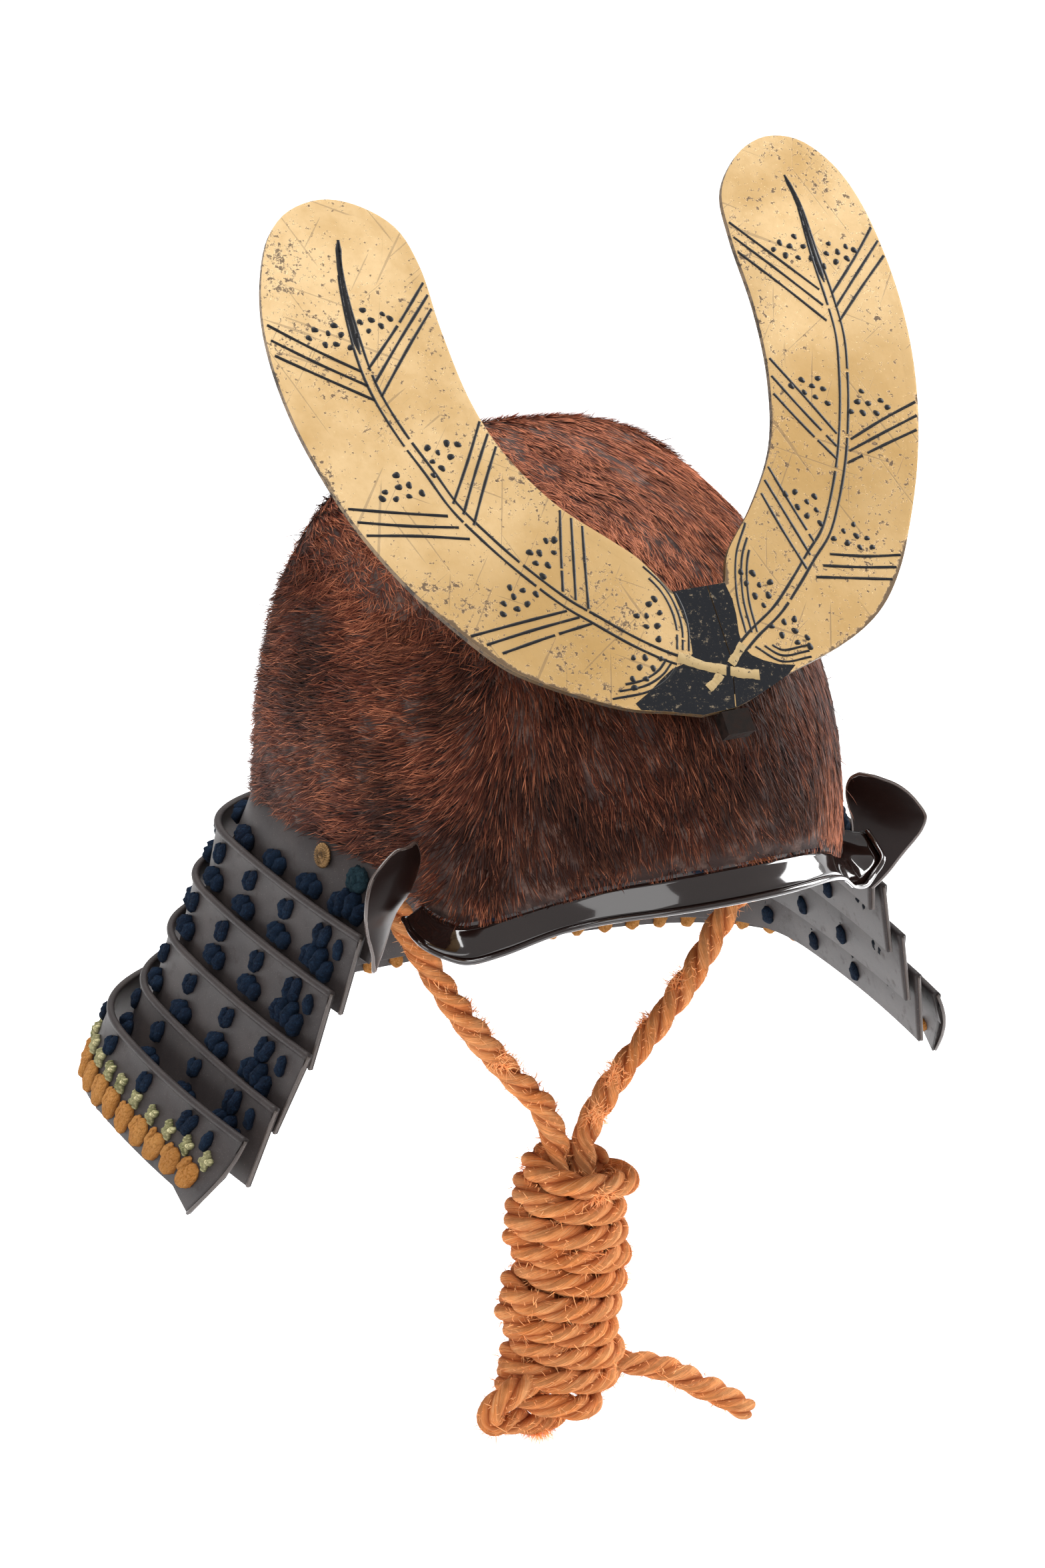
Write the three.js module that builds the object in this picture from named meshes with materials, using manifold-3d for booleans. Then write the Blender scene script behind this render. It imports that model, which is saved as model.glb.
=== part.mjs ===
// A samurai helmet: a tall iron bowl under a short-haired hide, a lacquered visor with two
// leaf-shaped turn-backs, a neck guard of a top plate and five laced lames, a pair of flat
// feather-shaped crest plates, and a chin cord of twisted rope with a wrapped coil.
//
// Millimetres, +Z up, front towards -Y, wearer's left towards +X. Everything is worked out
// about the middle of the bowl's rim and then moved so that the seat inside the crown, where
// a head carries the helmet, is the origin.
import * as THREE from "three";
import Module from "manifold-3d";

// ---- driving dimensions ------------------------------------------------------------------
const SEAT = { y: 10, z: 139 }; // crown contact, about the middle of the rim
const GAP = 0.3; // clearance between neighbouring pieces
const EDGE_GAP = 1.8; // below the hide's edge, whose facets don't follow the plates' own

const BOWL = {
  halfWidth: 111.5, middleY: 66, frontDepth: 174, backDepth: 54, // plan, widest at middleY
  planPower: 2.1, height: 147, rimZ: -4,
  frontPower: 3.1, sideFrontPower: 1.95, sideBackPower: 3.3, backPower: 3.2, // squareness
  around: 32, up: 9,
};
const HIDE_THICKNESS = 3;
const BOWL_THICKNESS = 2.2;

// The edge of the hide, and how low and how far out the visor's edge lies, by angle from the
// front.
const RIM = [
  { angle: 0, hideZ: 29.5, visorZ: 18, visorOut: 8.5 },
  { angle: 18, hideZ: 26, visorZ: 15, visorOut: 8 },
  { angle: 30, hideZ: 18.5, visorZ: 7.5, visorOut: 6.5 },
  { angle: 42, hideZ: 7.5, visorZ: -6, visorOut: 7 },
  { angle: 48, hideZ: 2.4, visorZ: -10.2, visorOut: 11 },
  { angle: 52, hideZ: 0, visorZ: -8.8, visorOut: 14 },
  { angle: 55.5, hideZ: 0, visorZ: -5.2, visorOut: 17.5 },
  { angle: 59, hideZ: 0.8, visorZ: -2.6, visorOut: 15.5 },
  { angle: 62, hideZ: 3.4, visorZ: 0.7, visorOut: 12.5 },
  { angle: 65, hideZ: 6, visorZ: 1, visorOut: 12.5 },
  { angle: 76, hideZ: 13, visorZ: 1, visorOut: 12.5 },
  { angle: 115, hideZ: 11, visorZ: 1, visorOut: 12.5 },
  { angle: 180, hideZ: 6, visorZ: 1, visorOut: 12.5 },
];
const VISOR = { halfAngle: 62, thickness: 1.6, rollRadius: 1.1, stations: 36 };

// Lames of the neck guard, top edge then bottom edge. halfWidth is at the widest point,
// back the furthest point behind, endX and endY the front end.
const WIDEST_Y = 70;
const LAMES = [
  { name: "lame_1", top: { halfWidth: 119.7, back: 125.5, endX: 112.7, endY: -31.9, z: -10 },
    bottom: { halfWidth: 125.5, back: 129, endX: 118.7, endY: -25.7, z: -43.5 } },
  { name: "lame_2", top: { halfWidth: 128.6, back: 132, endX: 122.4, endY: -26.9, z: -32.9 },
    bottom: { halfWidth: 136, back: 135.5, endX: 130.2, endY: -23.6, z: -65.3 } },
  { name: "lame_3", top: { halfWidth: 138.6, back: 138.5, endX: 132.2, endY: -28.3, z: -56.4 },
    bottom: { halfWidth: 148, back: 142.5, endX: 143.2, endY: -19.9, z: -91.3 } },
  { name: "lame_4", top: { halfWidth: 149.6, back: 145.5, endX: 144.1, endY: -24.6, z: -78.2 },
    bottom: { halfWidth: 159.5, back: 150, endX: 153.1, endY: -17, z: -113.2 } },
  { name: "lame_5", top: { halfWidth: 163, back: 153.5, endX: 155.5, endY: -22, z: -90 },
    bottom: { halfWidth: 175.5, back: 160, endX: 171.5, endY: -1, z: -121.5 } },
];
const LAME = {
  thickness: 1.5, ridgeHeight: 2.2, ridgeDepth: 1.4, sideSteps: 6, backSteps: 8,
  backPower: 3.2, cornerBulge: 6, cornerDrop: 7,
};
const TOP_PLATE = { halfWidth: 116, back: 119.5, endX: 109.5, endY: -30.5, z: -22, thickness: 1.5 };

// Lacing: in each column a bulky loop of braid above the next ridge, a cluster of loops at
// each front end, and on the lowest lame a row of knots along the hem. Shares run along a
// plate from one front end to the other.
const LACING = {
  columns: 15, firstShare: 0.096, loopWidth: 9, loopHeight: 10.5, loopRise: 3.4, loopDown: 0.53,
  clusterShare: 0.04, clusterWidth: 16,
  hemColumns: 46, hemFirstShare: 0.02, hemWidth: 8, hemHeight: 11, hemRise: 2.6, hemDown: 0.82,
};

// Crest plates, drawn in their own plane: u to the side, v up the plate from the seam's foot.
const CREST = {
  seamGap: 0.4, thickness: 2.4, leanDeg: 41.6, originY: -89.2, originZ: 103.7,
};
// From the seam's foot along the outer edge, round the tip and down the inner edge. The two
// plates are cut by hand and differ a little.
const CREST_LEFT_OUTLINE = [
  { u: 9, v: -18.5 }, { u: 26.7, v: -11.5 }, { u: 50.6, v: -4.3 }, { u: 66.1, v: 2.6 },
  { u: 77.1, v: 10.7 }, { u: 87.7, v: 22.9 }, { u: 96, v: 36 }, { u: 109.5, v: 61.6 },
  { u: 119.8, v: 88.6 }, { u: 126.1, v: 116.4 }, { u: 128.1, v: 145.2 }, { u: 125.3, v: 174.7 },
  { u: 118.9, v: 191.5 }, { u: 108, v: 203 }, { u: 96.1, v: 206 }, { u: 86, v: 203.6 },
  { u: 76.6, v: 197.4 }, { u: 66.5, v: 184 }, { u: 64, v: 165 }, { u: 63.8, v: 135 },
  { u: 60, v: 106 }, { u: 50.6, v: 78.1 }, { u: 33.1, v: 53.9 }, { u: 24.1, v: 44.9 },
  { u: 17.6, v: 37.4 }, { u: 13.2, v: 27 },
];
const CREST_RIGHT_OUTLINE = [
  { u: 12.7, v: -21.8 }, { u: 24.2, v: -18.8 }, { u: 38.7, v: -15.6 }, { u: 50.2, v: -11.1 },
  { u: 71.4, v: -0.2 }, { u: 81.9, v: 6.9 }, { u: 92.1, v: 18 }, { u: 107, v: 38 },
  { u: 114, v: 49.8 }, { u: 122, v: 66.5 }, { u: 128, v: 84 }, { u: 133.6, v: 108 },
  { u: 135.6, v: 131 }, { u: 134.3, v: 150.6 }, { u: 129.6, v: 168.5 }, { u: 121.8, v: 184.4 },
  { u: 112, v: 193 }, { u: 97.4, v: 196.5 }, { u: 84, v: 192.5 }, { u: 72, v: 182 },
  { u: 67.5, v: 166 }, { u: 67, v: 140 }, { u: 64.3, v: 110.1 }, { u: 58, v: 89 },
  { u: 43.8, v: 66 }, { u: 26.3, v: 49 }, { u: 19, v: 41.8 }, { u: 13.5, v: 33.5 },
  { u: 9.3, v: 26.5 },
];
// The cut between the plates, from its top to its foot.
const CREST_SEAM = [{ u: 5.5, v: 26.8 }, { u: 5.5, v: -3 }, { u: 0.8, v: -21 }];
const SOCKET = { width: 11, depth: 6, height: 9, y: -106.4, z: 83.9 };

// Turn-backs: a leaf standing on each end of the visor, rows from its foot to its top.
const TURNBACK_ROWS = {
  left: [
    { inX: 104, inY: -33, outX: 108.5, outY: -39, z: -27 },
    { inX: 103, inY: -32.6, outX: 111.9, outY: -43.2, z: -20 },
    { inX: 102.6, inY: -32.4, outX: 115.4, outY: -48.2, z: -10 },
    { inX: 102.2, inY: -32, outX: 119, outY: -53.3, z: 0 },
    { inX: 101, inY: -30, outX: 121, outY: -54.8, z: 7 },
    { inX: 100.4, inY: -29, outX: 119.6, outY: -51, z: 12 },
    { inX: 101, inY: -29.6, outX: 115.6, outY: -45, z: 17 },
    { inX: 103, inY: -33, outX: 107.6, outY: -37.6, z: 20.4 },
  ],
  right: [
    { inX: 107, inY: -33.5, outX: 109, outY: -36, z: -23.5 },
    { inX: 104.5, inY: -35.5, outX: 112.5, outY: -42, z: -13 },
    { inX: 101.5, inY: -37, outX: 117.5, outY: -47.5, z: -1 },
    { inX: 96.5, inY: -41, outX: 120.8, outY: -53.5, z: 11 },
    { inX: 94.5, inY: -43.5, outX: 118, outY: -52, z: 22 },
    { inX: 96, inY: -44, outX: 107, outY: -47.5, z: 30 },
  ],
};
const TURNBACK = { thickness: 1.5, bow: { left: 1, right: 3.2 }, columns: 5 };

const ROSETTE = { radius: 4.9, rise: 1.7, petals: 12, y: 12, z: 5.2 };
const SIDE_KNOT = { length: 11.5, height: 9.5, rise: 3.4, y: -12.5, z: 3.2 };

// Chin cord. The route's points are where it lies; the coil is wrapped round both legs.
const ROPE = { diameter: 11, sides: 8 };
const COIL = { top: -139.2, length: 122, halfWidth: 27.5, halfDepth: 22, topX: 3, leanX: -6, sides: 16, y: 8 };
const LOOP_ROUTE = [
  [-6.6, 8, -138], [-7, 8, -134.5], [-13, 8, -119.5], [-22, 8, -109], [-33.4, 8, -95],
  [-48.4, 8, -74.3], [-61, 8, -54.5], [-72.4, 8, -33.7], [-80, 9.5, -20], [-85.5, 15, -11],
  [-89, 27, -6], [-91, 46, -6], [-90, 68, -6], [-80, 88, -6], [-58, 100, -6], [-30, 104, -6],
  [0, 105, -6], [30, 104, -6], [58, 100, -6], [80, 88, -6], [90, 68, -6], [92, 48, -7],
  [94, 35, -12], [94, 24, -22], [90, 15, -31], [83, 10, -38], [75, 8, -42.5], [69, 8, -50.5],
  [58.7, 8, -68.7], [43.4, 8, -89.7], [25, 8, -110], [12, 8, -128], [9, 8, -134.5], [8.8, 8, -138],
];
const FOOT_ROUTE = [
  [-31.5, -6, -243], [-37, -7, -245], [-40, -6, -251], [-38, -4, -257.5], [-32, -1, -264],
  [-24, 2, -268.6], [-14, 5, -269], [-6, 8, -268.6],
];
const TAIL_ROUTE = [
  [25, 4, -247], [33, 1, -247.5], [43, -1, -251], [53, -3, -257], [63, -4, -264],
  [72, -5, -270], [80, -6, -276], [85, -6, -280],
];

// ---- colours -----------------------------------------------------------------------------
const material = (color, roughness, metalness = 0) =>
  new THREE.MeshStandardMaterial({ color, roughness, metalness });
const LACQUER = material(0x2a211f, 0.4);
const GLOSS_LACQUER = material(0x1d1210, 0.12);
const GOLD = material(0xc59a4e, 0.38, 0.6);
const HIDE = material(0x5b2b1c, 0.9);
const IRON = material(0x1c1a1a, 0.6, 0.6);
const ROPE_ORANGE = material(0xd0703a, 0.95);
const BRAID_BLUE = material(0x14283f, 0.9);
const GILT = material(0x8a6a3a, 0.4, 0.8);

const wasm = await Module();
wasm.setup();

const helmet = new THREE.Group();
helmet.name = "kabuto";
helmet.position.set(0, -SEAT.y, -SEAT.z);

function add(name, geometry, look, parent = helmet) {
  const mesh = new THREE.Mesh(geometry, look.clone());
  mesh.name = name;
  parent.add(mesh);
  return mesh;
}

// ---- small mesh tools --------------------------------------------------------------------
const sign = Math.sign;
const power = (value, p) => sign(value) * Math.abs(value) ** p;
const radians = THREE.MathUtils.degToRad;

function geometryOf(points, faces) {
  return new THREE.BufferGeometry()
    .setAttribute("position", new THREE.Float32BufferAttribute(points.flatMap((p) => [p.x, p.y, p.z]), 3))
    .setIndex(faces.flat());
}

// Joins closed rings of equal length, one after another, and caps both ends with the given
// triangulation of one ring.
function loft(rings, cap) {
  const n = rings[0].length;
  const faces = [];
  for (let i = 0; i + 1 < rings.length; i++)
    for (let j = 0; j < n; j++) {
      const [a, b] = [i * n + j, i * n + ((j + 1) % n)];
      faces.push([a, a + n, b], [b, a + n, b + n]);
    }
  const last = (rings.length - 1) * n;
  for (const [a, b, c] of cap) faces.push([a, b, c], [last + a, last + c, last + b]);
  return geometryOf(rings.flat(), faces);
}

// The unit normals of a grid of points, on the side where rows x columns turn.
function gridNormals(grid) {
  const clamp = (i, n) => Math.min(Math.max(i, 0), n - 1);
  return grid.map((row, i) =>
    row.map((_, j) => {
      const along = grid[clamp(i + 1, grid.length)][j].clone().sub(grid[clamp(i - 1, grid.length)][j]);
      const across = row[clamp(j + 1, row.length)].clone().sub(row[clamp(j - 1, row.length)]);
      return along.cross(across).normalize();
    }));
}

// A closed plate whose one face is the grid and whose other face lies `thickness` behind it.
function plate(grid, thickness) {
  const normals = gridNormals(grid);
  const rings = grid.map((row, i) => {
    const behind = row.map((p, j) => p.clone().addScaledVector(normals[i][j], -thickness));
    return [...row, ...behind.reverse()];
  });
  const n = rings[0].length;
  const cap = [];
  for (let j = 0; j + 1 < n / 2; j++) {
    const k = n - 1 - j;
    cap.push([j, j + 1, k], [j + 1, k - 1, k]);
  }
  return loft(rings, cap);
}

// A geometry as a manifold solid, its sign put right.
function solid(geometry) {
  const positions = geometry.getAttribute("position").array;
  const mesh = new wasm.Mesh({
    numProp: 3, vertProperties: new Float32Array(positions),
    triVerts: new Uint32Array(geometry.index.array),
  });
  return new wasm.Manifold(mesh);
}

function geometryFrom(manifold) {
  const mesh = manifold.getMesh();
  return new THREE.BufferGeometry()
    .setAttribute("position", new THREE.BufferAttribute(mesh.vertProperties.slice(), 3))
    .setIndex(new THREE.BufferAttribute(mesh.triVerts.slice(), 1));
}

function turnedOut(geometry) {
  if (solid(geometry).volume() > 0) return geometry;
  const index = geometry.index.array;
  for (let i = 0; i < index.length; i += 3) [index[i + 1], index[i + 2]] = [index[i + 2], index[i + 1]];
  return geometry;
}

// ---- the bowl's surface ------------------------------------------------------------------
// A point of the bowl's outer surface, `inset` mm inside it, for a turn about its middle and
// a height. Turn 0 is the front, a quarter turn the wearer's left.
function bowlPoint(turn, z, inset = 0) {
  const B = BOWL;
  const top = B.height - inset;
  const rise = Math.min(Math.max((z - B.rimZ) / (top - B.rimZ), 0), 1);
  const shrink = (p) => (1 - rise ** p) ** (1 / p);
  const forward = Math.cos(turn), aside = Math.sin(turn);
  const sidePower = THREE.MathUtils.lerp(B.sideBackPower, B.sideFrontPower, (1 + forward) / 2);
  const depth = forward > 0 ? (B.frontDepth - inset) * shrink(B.frontPower)
    : (B.backDepth - inset) * shrink(B.backPower);
  return new THREE.Vector3(
    (B.halfWidth - inset) * shrink(sidePower) * power(aside, 2 / B.planPower),
    B.middleY - depth * power(forward, 2 / B.planPower), z);
}

// Angle of a point from the front, about the middle of the rim.
const angleOf = (p) => THREE.MathUtils.radToDeg(Math.atan2(Math.abs(p.x), -(p.y - SEAT.y)));

// A column of the rim's table at an angle, on a smooth curve through its rows.
function rimAt(angle, column) {
  const i = Math.min(Math.max(1, RIM.findIndex((row) => row.angle >= angle)), RIM.length - 1);
  const slope = (k) => {
    const before = RIM[Math.max(k - 1, 0)], after = RIM[Math.min(k + 1, RIM.length - 1)];
    return k === 0 ? 0 : (after[column] - before[column]) / (after.angle - before.angle);
  };
  const [a, b] = [RIM[i - 1], RIM[i]];
  const width = b.angle - a.angle;
  const t = THREE.MathUtils.clamp((angle - a.angle) / width, 0, 1);
  const s = t * t * (3 - 2 * t);
  return a[column] * (1 - s) + b[column] * s +
    width * (slope(i - 1) * t * (1 - t) ** 2 - slope(i) * t * t * (1 - t));
}

// The turn whose rim point lies at the given angle from the front.
function turnAtAngle(angle) {
  let [low, high] = [0, Math.PI];
  for (let i = 0; i < 40; i++) {
    const middle = (low + high) / 2;
    if (angleOf(bowlPoint(middle, 0)) < angle) low = middle; else high = middle;
  }
  return (low + high) / 2;
}

// Turns spread evenly by angle, so that the front and the sides get their share of faces.
function bowlTurns(count) {
  return Array.from({ length: count }, (_, i) => {
    const angle = (360 * i) / count;
    return angle <= 180 ? turnAtAngle(angle) : -turnAtAngle(360 - angle);
  });
}

// A dome of the bowl's form with its open edge along the hide's edge.
function dome(outerInset, thickness, edgeRaise) {
  const turns = bowlTurns(BOWL.around);
  const rings = [];
  const ring = (inset, level) => turns.map((turn) => {
    const edge = rimAt(angleOf(bowlPoint(turn, 0)), "hideZ") + edgeRaise;
    const top = BOWL.height - inset;
    return bowlPoint(turn, edge + (top - edge) * Math.sin((level * Math.PI) / 2), inset);
  });
  const levels = Array.from({ length: BOWL.up }, (_, i) => i / BOWL.up);
  const inner = outerInset + thickness;
  for (const level of [...levels].reverse()) rings.push(ring(outerInset, level));
  for (const level of levels) rings.push(ring(inner, level));
  const points = rings.flat();
  const n = turns.length, faces = [];
  for (let i = 0; i + 1 < rings.length; i++)
    for (let j = 0; j < n; j++) {
      const [a, b] = [i * n + j, i * n + ((j + 1) % n)];
      faces.push([a, a + n, b], [b, a + n, b + n]);
    }
  const pole = (inset) => new THREE.Vector3(0, BOWL.middleY, BOWL.height - inset);
  points.push(pole(outerInset), pole(inner));
  const [outerPole, innerPole, lastRing] = [points.length - 2, points.length - 1, (rings.length - 1) * n];
  for (let j = 0; j < n; j++) {
    const next = (j + 1) % n;
    faces.push([j, next, outerPole], [lastRing + next, lastRing + j, innerPole]);
  }
  return turnedOut(geometryOf(points, faces));
}

// ---- neck guard --------------------------------------------------------------------------
// One edge of a lame in plan, from the wearer's left front end round the back to the right.
function edgePath(edge) {
  const half = [];
  for (let i = 0; i < LAME.sideSteps; i++) {
    const y = THREE.MathUtils.lerp(edge.endY, WIDEST_Y, i / LAME.sideSteps);
    const away = (WIDEST_Y - y) / (WIDEST_Y - edge.endY);
    half.push(new THREE.Vector3(edge.halfWidth - (edge.halfWidth - edge.endX) * away ** 2, y, edge.z));
  }
  for (let i = 0; i <= LAME.backSteps; i++) {
    const turn = (Math.PI / 2) * (i / LAME.backSteps);
    half.push(new THREE.Vector3(edge.halfWidth * Math.cos(turn) ** (2 / LAME.backPower),
      WIDEST_Y + (edge.back - WIDEST_Y) * Math.sin(turn) ** (2 / LAME.backPower), edge.z));
  }
  const other = half.slice(0, -1).reverse().map((p) => new THREE.Vector3(-p.x, p.y, p.z));
  return [...half, ...other];
}

// Outward normals along a band between two edges.
function bandNormals(top, bottom) {
  return top.map((p, i) => {
    const before = top[Math.max(i - 1, 0)], after = top[Math.min(i + 1, top.length - 1)];
    return after.clone().sub(before).cross(p.clone().sub(bottom[i])).normalize();
  });
}

// Section of a lame: down is the share of the way to its bottom edge, out its distance from
// the outer face in mm. The top carries a thin raised ridge.
function lameSection(height) {
  const ridge = LAME.ridgeHeight / height;
  const back = -LAME.thickness;
  return [
    { down: 1, out: 0 }, { down: 0.55, out: 0 }, { down: ridge * 1.3, out: 0 },
    { down: ridge, out: LAME.ridgeDepth }, { down: 0, out: LAME.ridgeDepth }, { down: -ridge / 4, out: 0 },
    { down: 0, out: back }, { down: 0.55, out: back }, { down: 1, out: back },
  ];
}

function bandPoint(top, bottom, normal, { down, out }) {
  return top.clone().lerp(bottom, down).addScaledVector(normal, out);
}

function lameGeometry(lame, isLowest) {
  const top = edgePath(lame.top), bottom = edgePath(lame.bottom);
  const normals = bandNormals(top, bottom);
  const last = top.length - 1;
  const section = lameSection(lame.top.z - lame.bottom.z);
  const rings = top.map((_, i) => section.map((place) => {
    const p = bandPoint(top[i], bottom[i], normals[i], place);
    if (isLowest && (i === 0 || i === last)) { // the drooping pointed corner
      const bulge = 4 * place.down * (1 - place.down) * LAME.cornerBulge;
      p.y -= bulge;
      p.z -= LAME.cornerDrop * Math.max(place.down, 0) ** 3;
    }
    return p;
  }));
  const flat = section.map(({ down, out }) => new THREE.Vector2(down * 35, out));
  return turnedOut(loft(rings, THREE.ShapeUtils.triangulateShape(flat, [])));
}

// A place on a lame's outer face: share of the way along from the left end, share down.
function placeOnLame({ top: topEdge, bottom: bottomEdge }, share, down) {
  const top = topEdge instanceof Array ? topEdge : edgePath(topEdge);
  const bottom = edgePath(bottomEdge);
  const normals = bandNormals(top, bottom);
  const lengths = [0];
  for (let i = 1; i < top.length; i++) lengths.push(lengths[i - 1] + bottom[i].distanceTo(bottom[i - 1]));
  const goal = share * lengths.at(-1);
  const i = Math.min(Math.max(1, lengths.findIndex((l) => l >= goal)), top.length - 1);
  const t = (goal - lengths[i - 1]) / (lengths[i] - lengths[i - 1]);
  const mix = (list) => list[i - 1].clone().lerp(list[i], t);
  const out = mix(normals).normalize();
  const [a, b] = [mix(top), mix(bottom)];
  return { at: a.clone().lerp(b, down), out, up: a.clone().sub(b).normalize() };
}

// A low knot of braid with sloping sides, standing on a face.
function knot({ at, out, up }, width, height, rise) {
  const side = up.clone().cross(out).normalize();
  const sunk = -0.8;
  const corner = (x, y, z) => at.clone().addScaledVector(side, x).addScaledVector(up, y).addScaledVector(out, z);
  const ring = (share, z) => [[-1, -1], [1, -1], [1, 1], [-1, 1]]
    .map(([x, y]) => corner((x * width * share) / 2, (y * height * share) / 2, z));
  return turnedOut(loft([ring(1, sunk), ring(0.55, rise)], [[0, 1, 2], [0, 2, 3]]));
}

// The knots that stand on a plate, as solids.
function lacingOf(plateEdges, isLowest) {
  const L = LACING;
  const knots = [];
  const put = (share, down, width, height, rise) =>
    knots.push(solid(knot(placeOnLame(plateEdges, share, down), width, height, rise)));
  if (isLowest) {
    for (let i = 0; i < L.hemColumns; i++) {
      const share = THREE.MathUtils.lerp(L.hemFirstShare, 1 - L.hemFirstShare, i / (L.hemColumns - 1));
      put(share, L.hemDown, L.hemWidth, L.hemHeight, L.hemRise);
    }
    return knots;
  }
  for (let i = 0; i < L.columns; i++) {
    const share = THREE.MathUtils.lerp(L.firstShare, 1 - L.firstShare, i / (L.columns - 1));
    put(share, L.loopDown, L.loopWidth, L.loopHeight, L.loopRise);
  }
  for (const share of [L.clusterShare, 1 - L.clusterShare])
    put(share, L.loopDown, L.clusterWidth, L.loopHeight, L.loopRise);
  return knots;
}

function neckGuard() {
  LAMES.forEach((lame, i) => {
    const isLowest = i === LAMES.length - 1;
    const parts = [solid(lameGeometry(lame, isLowest)), ...lacingOf(lame, isLowest)];
    add(lame.name, geometryFrom(wasm.Manifold.union(parts)), LACQUER);
  });
}

// The top plate's upper edge, just under the hide's edge all the way round.
function topPlateUpperEdge() {
  return edgePath(TOP_PLATE).map((low) => {
    const angle = angleOf(low);
    return bowlPoint(sign(low.x || 1) * turnAtAngle(angle), rimAt(angle, "hideZ") - EDGE_GAP, 0.6);
  });
}

// The top plate hangs from the hide's edge to behind the first ridge.
function topPlate() {
  const high = topPlateUpperEdge();
  const grid = edgePath(TOP_PLATE).map((low, i) => [low, high[i].clone().lerp(low, 0.5), high[i]]);
  const body = solid(turnedOut(plate(grid, TOP_PLATE.thickness)));
  const knots = lacingOf({ top: high, bottom: TOP_PLATE }, false);
  return geometryFrom(wasm.Manifold.union([body, ...knots]));
}

// ---- visor and turn-backs ----------------------------------------------------------------
function visor() {
  const V = VISOR;
  const rings = [];
  for (let i = 0; i <= V.stations; i++) {
    const angle = THREE.MathUtils.lerp(-V.halfAngle, V.halfAngle, i / V.stations);
    const turn = sign(angle || 1) * turnAtAngle(Math.abs(angle));
    const topZ = rimAt(Math.abs(angle), "hideZ") - EDGE_GAP;
    const lowZ = rimAt(Math.abs(angle), "visorZ");
    const high = bowlPoint(turn, topZ, 0.8);
    const out = new THREE.Vector3(high.x, high.y - SEAT.y, 0).normalize();
    const low = bowlPoint(turn, lowZ, 0.8).addScaledVector(out, rimAt(Math.abs(angle), "visorOut"));
    const down = low.clone().sub(high).normalize();
    const behind = out.clone().addScaledVector(down, -out.dot(down)).normalize();
    const at = (base, along, depth) =>
      base.clone().addScaledVector(down, along).addScaledVector(behind, depth);
    const middle = high.clone().lerp(low, 0.5);
    rings.push([at(high, 0, 0), at(middle, 0, -0.8), at(low, -V.rollRadius * 2, -0.2),
      at(low, -V.rollRadius, V.rollRadius), at(low, 0, V.rollRadius), at(low, V.rollRadius, 0),
      at(low, 0, -V.thickness), at(middle, 0, -0.8 - V.thickness), at(high, 0, -V.thickness)]);
  }
  const cap = [[0, 1, 8], [1, 7, 8], [1, 2, 7], [2, 6, 7], [2, 3, 6], [3, 4, 6], [4, 5, 6]];
  return turnedOut(loft(rings, cap));
}

function turnback(side) {
  const T = TURNBACK;
  const name = side > 0 ? "left" : "right";
  const grid = TURNBACK_ROWS[name].map((row) => {
    const inner = new THREE.Vector3(side * row.inX, row.inY, row.z);
    const outer = new THREE.Vector3(side * row.outX, row.outY, row.z);
    const width = inner.distanceTo(outer);
    return Array.from({ length: T.columns }, (_, j) => {
      const t = j / (T.columns - 1);
      const p = inner.clone().lerp(outer, t);
      p.y -= (T.bow[name] * 4 * t * (1 - t) * width) / 25;
      return p;
    });
  });
  return turnedOut(plate(grid, -side * T.thickness));
}

// ---- crest -------------------------------------------------------------------------------
function crestShape(side) {
  const half = CREST.seamGap / 2;
  const outline = side > 0 ? CREST_LEFT_OUTLINE : CREST_RIGHT_OUTLINE;
  const edge = new THREE.SplineCurve(outline.map(({ u, v }) => new THREE.Vector2(side * u, v)));
  const seam = CREST_SEAM.map(({ u, v }) => new THREE.Vector2(u + side * half, v));
  return new THREE.Shape([...seam, ...edge.getPoints((outline.length - 1) * 2)]);
}

function crestPlate(side) {
  const geometry = new THREE.ExtrudeGeometry(crestShape(side), {
    depth: CREST.thickness, bevelEnabled: false, curveSegments: 4, steps: 1,
  });
  const mesh = add(side > 0 ? "crest_left" : "crest_right", geometry, GOLD);
  mesh.position.set(0, CREST.originY, CREST.originZ);
  mesh.rotation.x = radians(90 - CREST.leanDeg);
  return mesh;
}

function socket() {
  const S = SOCKET;
  const mesh = add("crest_socket", new THREE.BoxGeometry(S.width, S.depth, S.height), IRON);
  mesh.position.set(0, S.y, S.z);
  mesh.rotation.x = radians(90 - CREST.leanDeg - 90);
}

// ---- rivets and knots on the top plate -----------------------------------------------------
// The frame of a spot on the top plate's outer face, at a depth y and a height z.
function spotOnTopPlate(side, y, z) {
  const bottom = edgePath(TOP_PLATE), top = topPlateUpperEdge();
  const i = bottom.findIndex((p) => p.y > y) - 1;
  const t = (y - bottom[i].y) / (bottom[i + 1].y - bottom[i].y);
  const low = bottom[i].clone().lerp(bottom[i + 1], t);
  const high = top[i].clone().lerp(top[i + 1], t);
  const at = high.clone().lerp(low, (high.z - z) / (high.z - low.z));
  const up = high.clone().sub(low).normalize();
  const out = bottom[i + 1].clone().sub(bottom[i]).cross(up).normalize();
  if (out.x < 0) out.negate();
  for (const v of [at, up, out]) v.x *= side;
  return { at, out, up };
}

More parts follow.
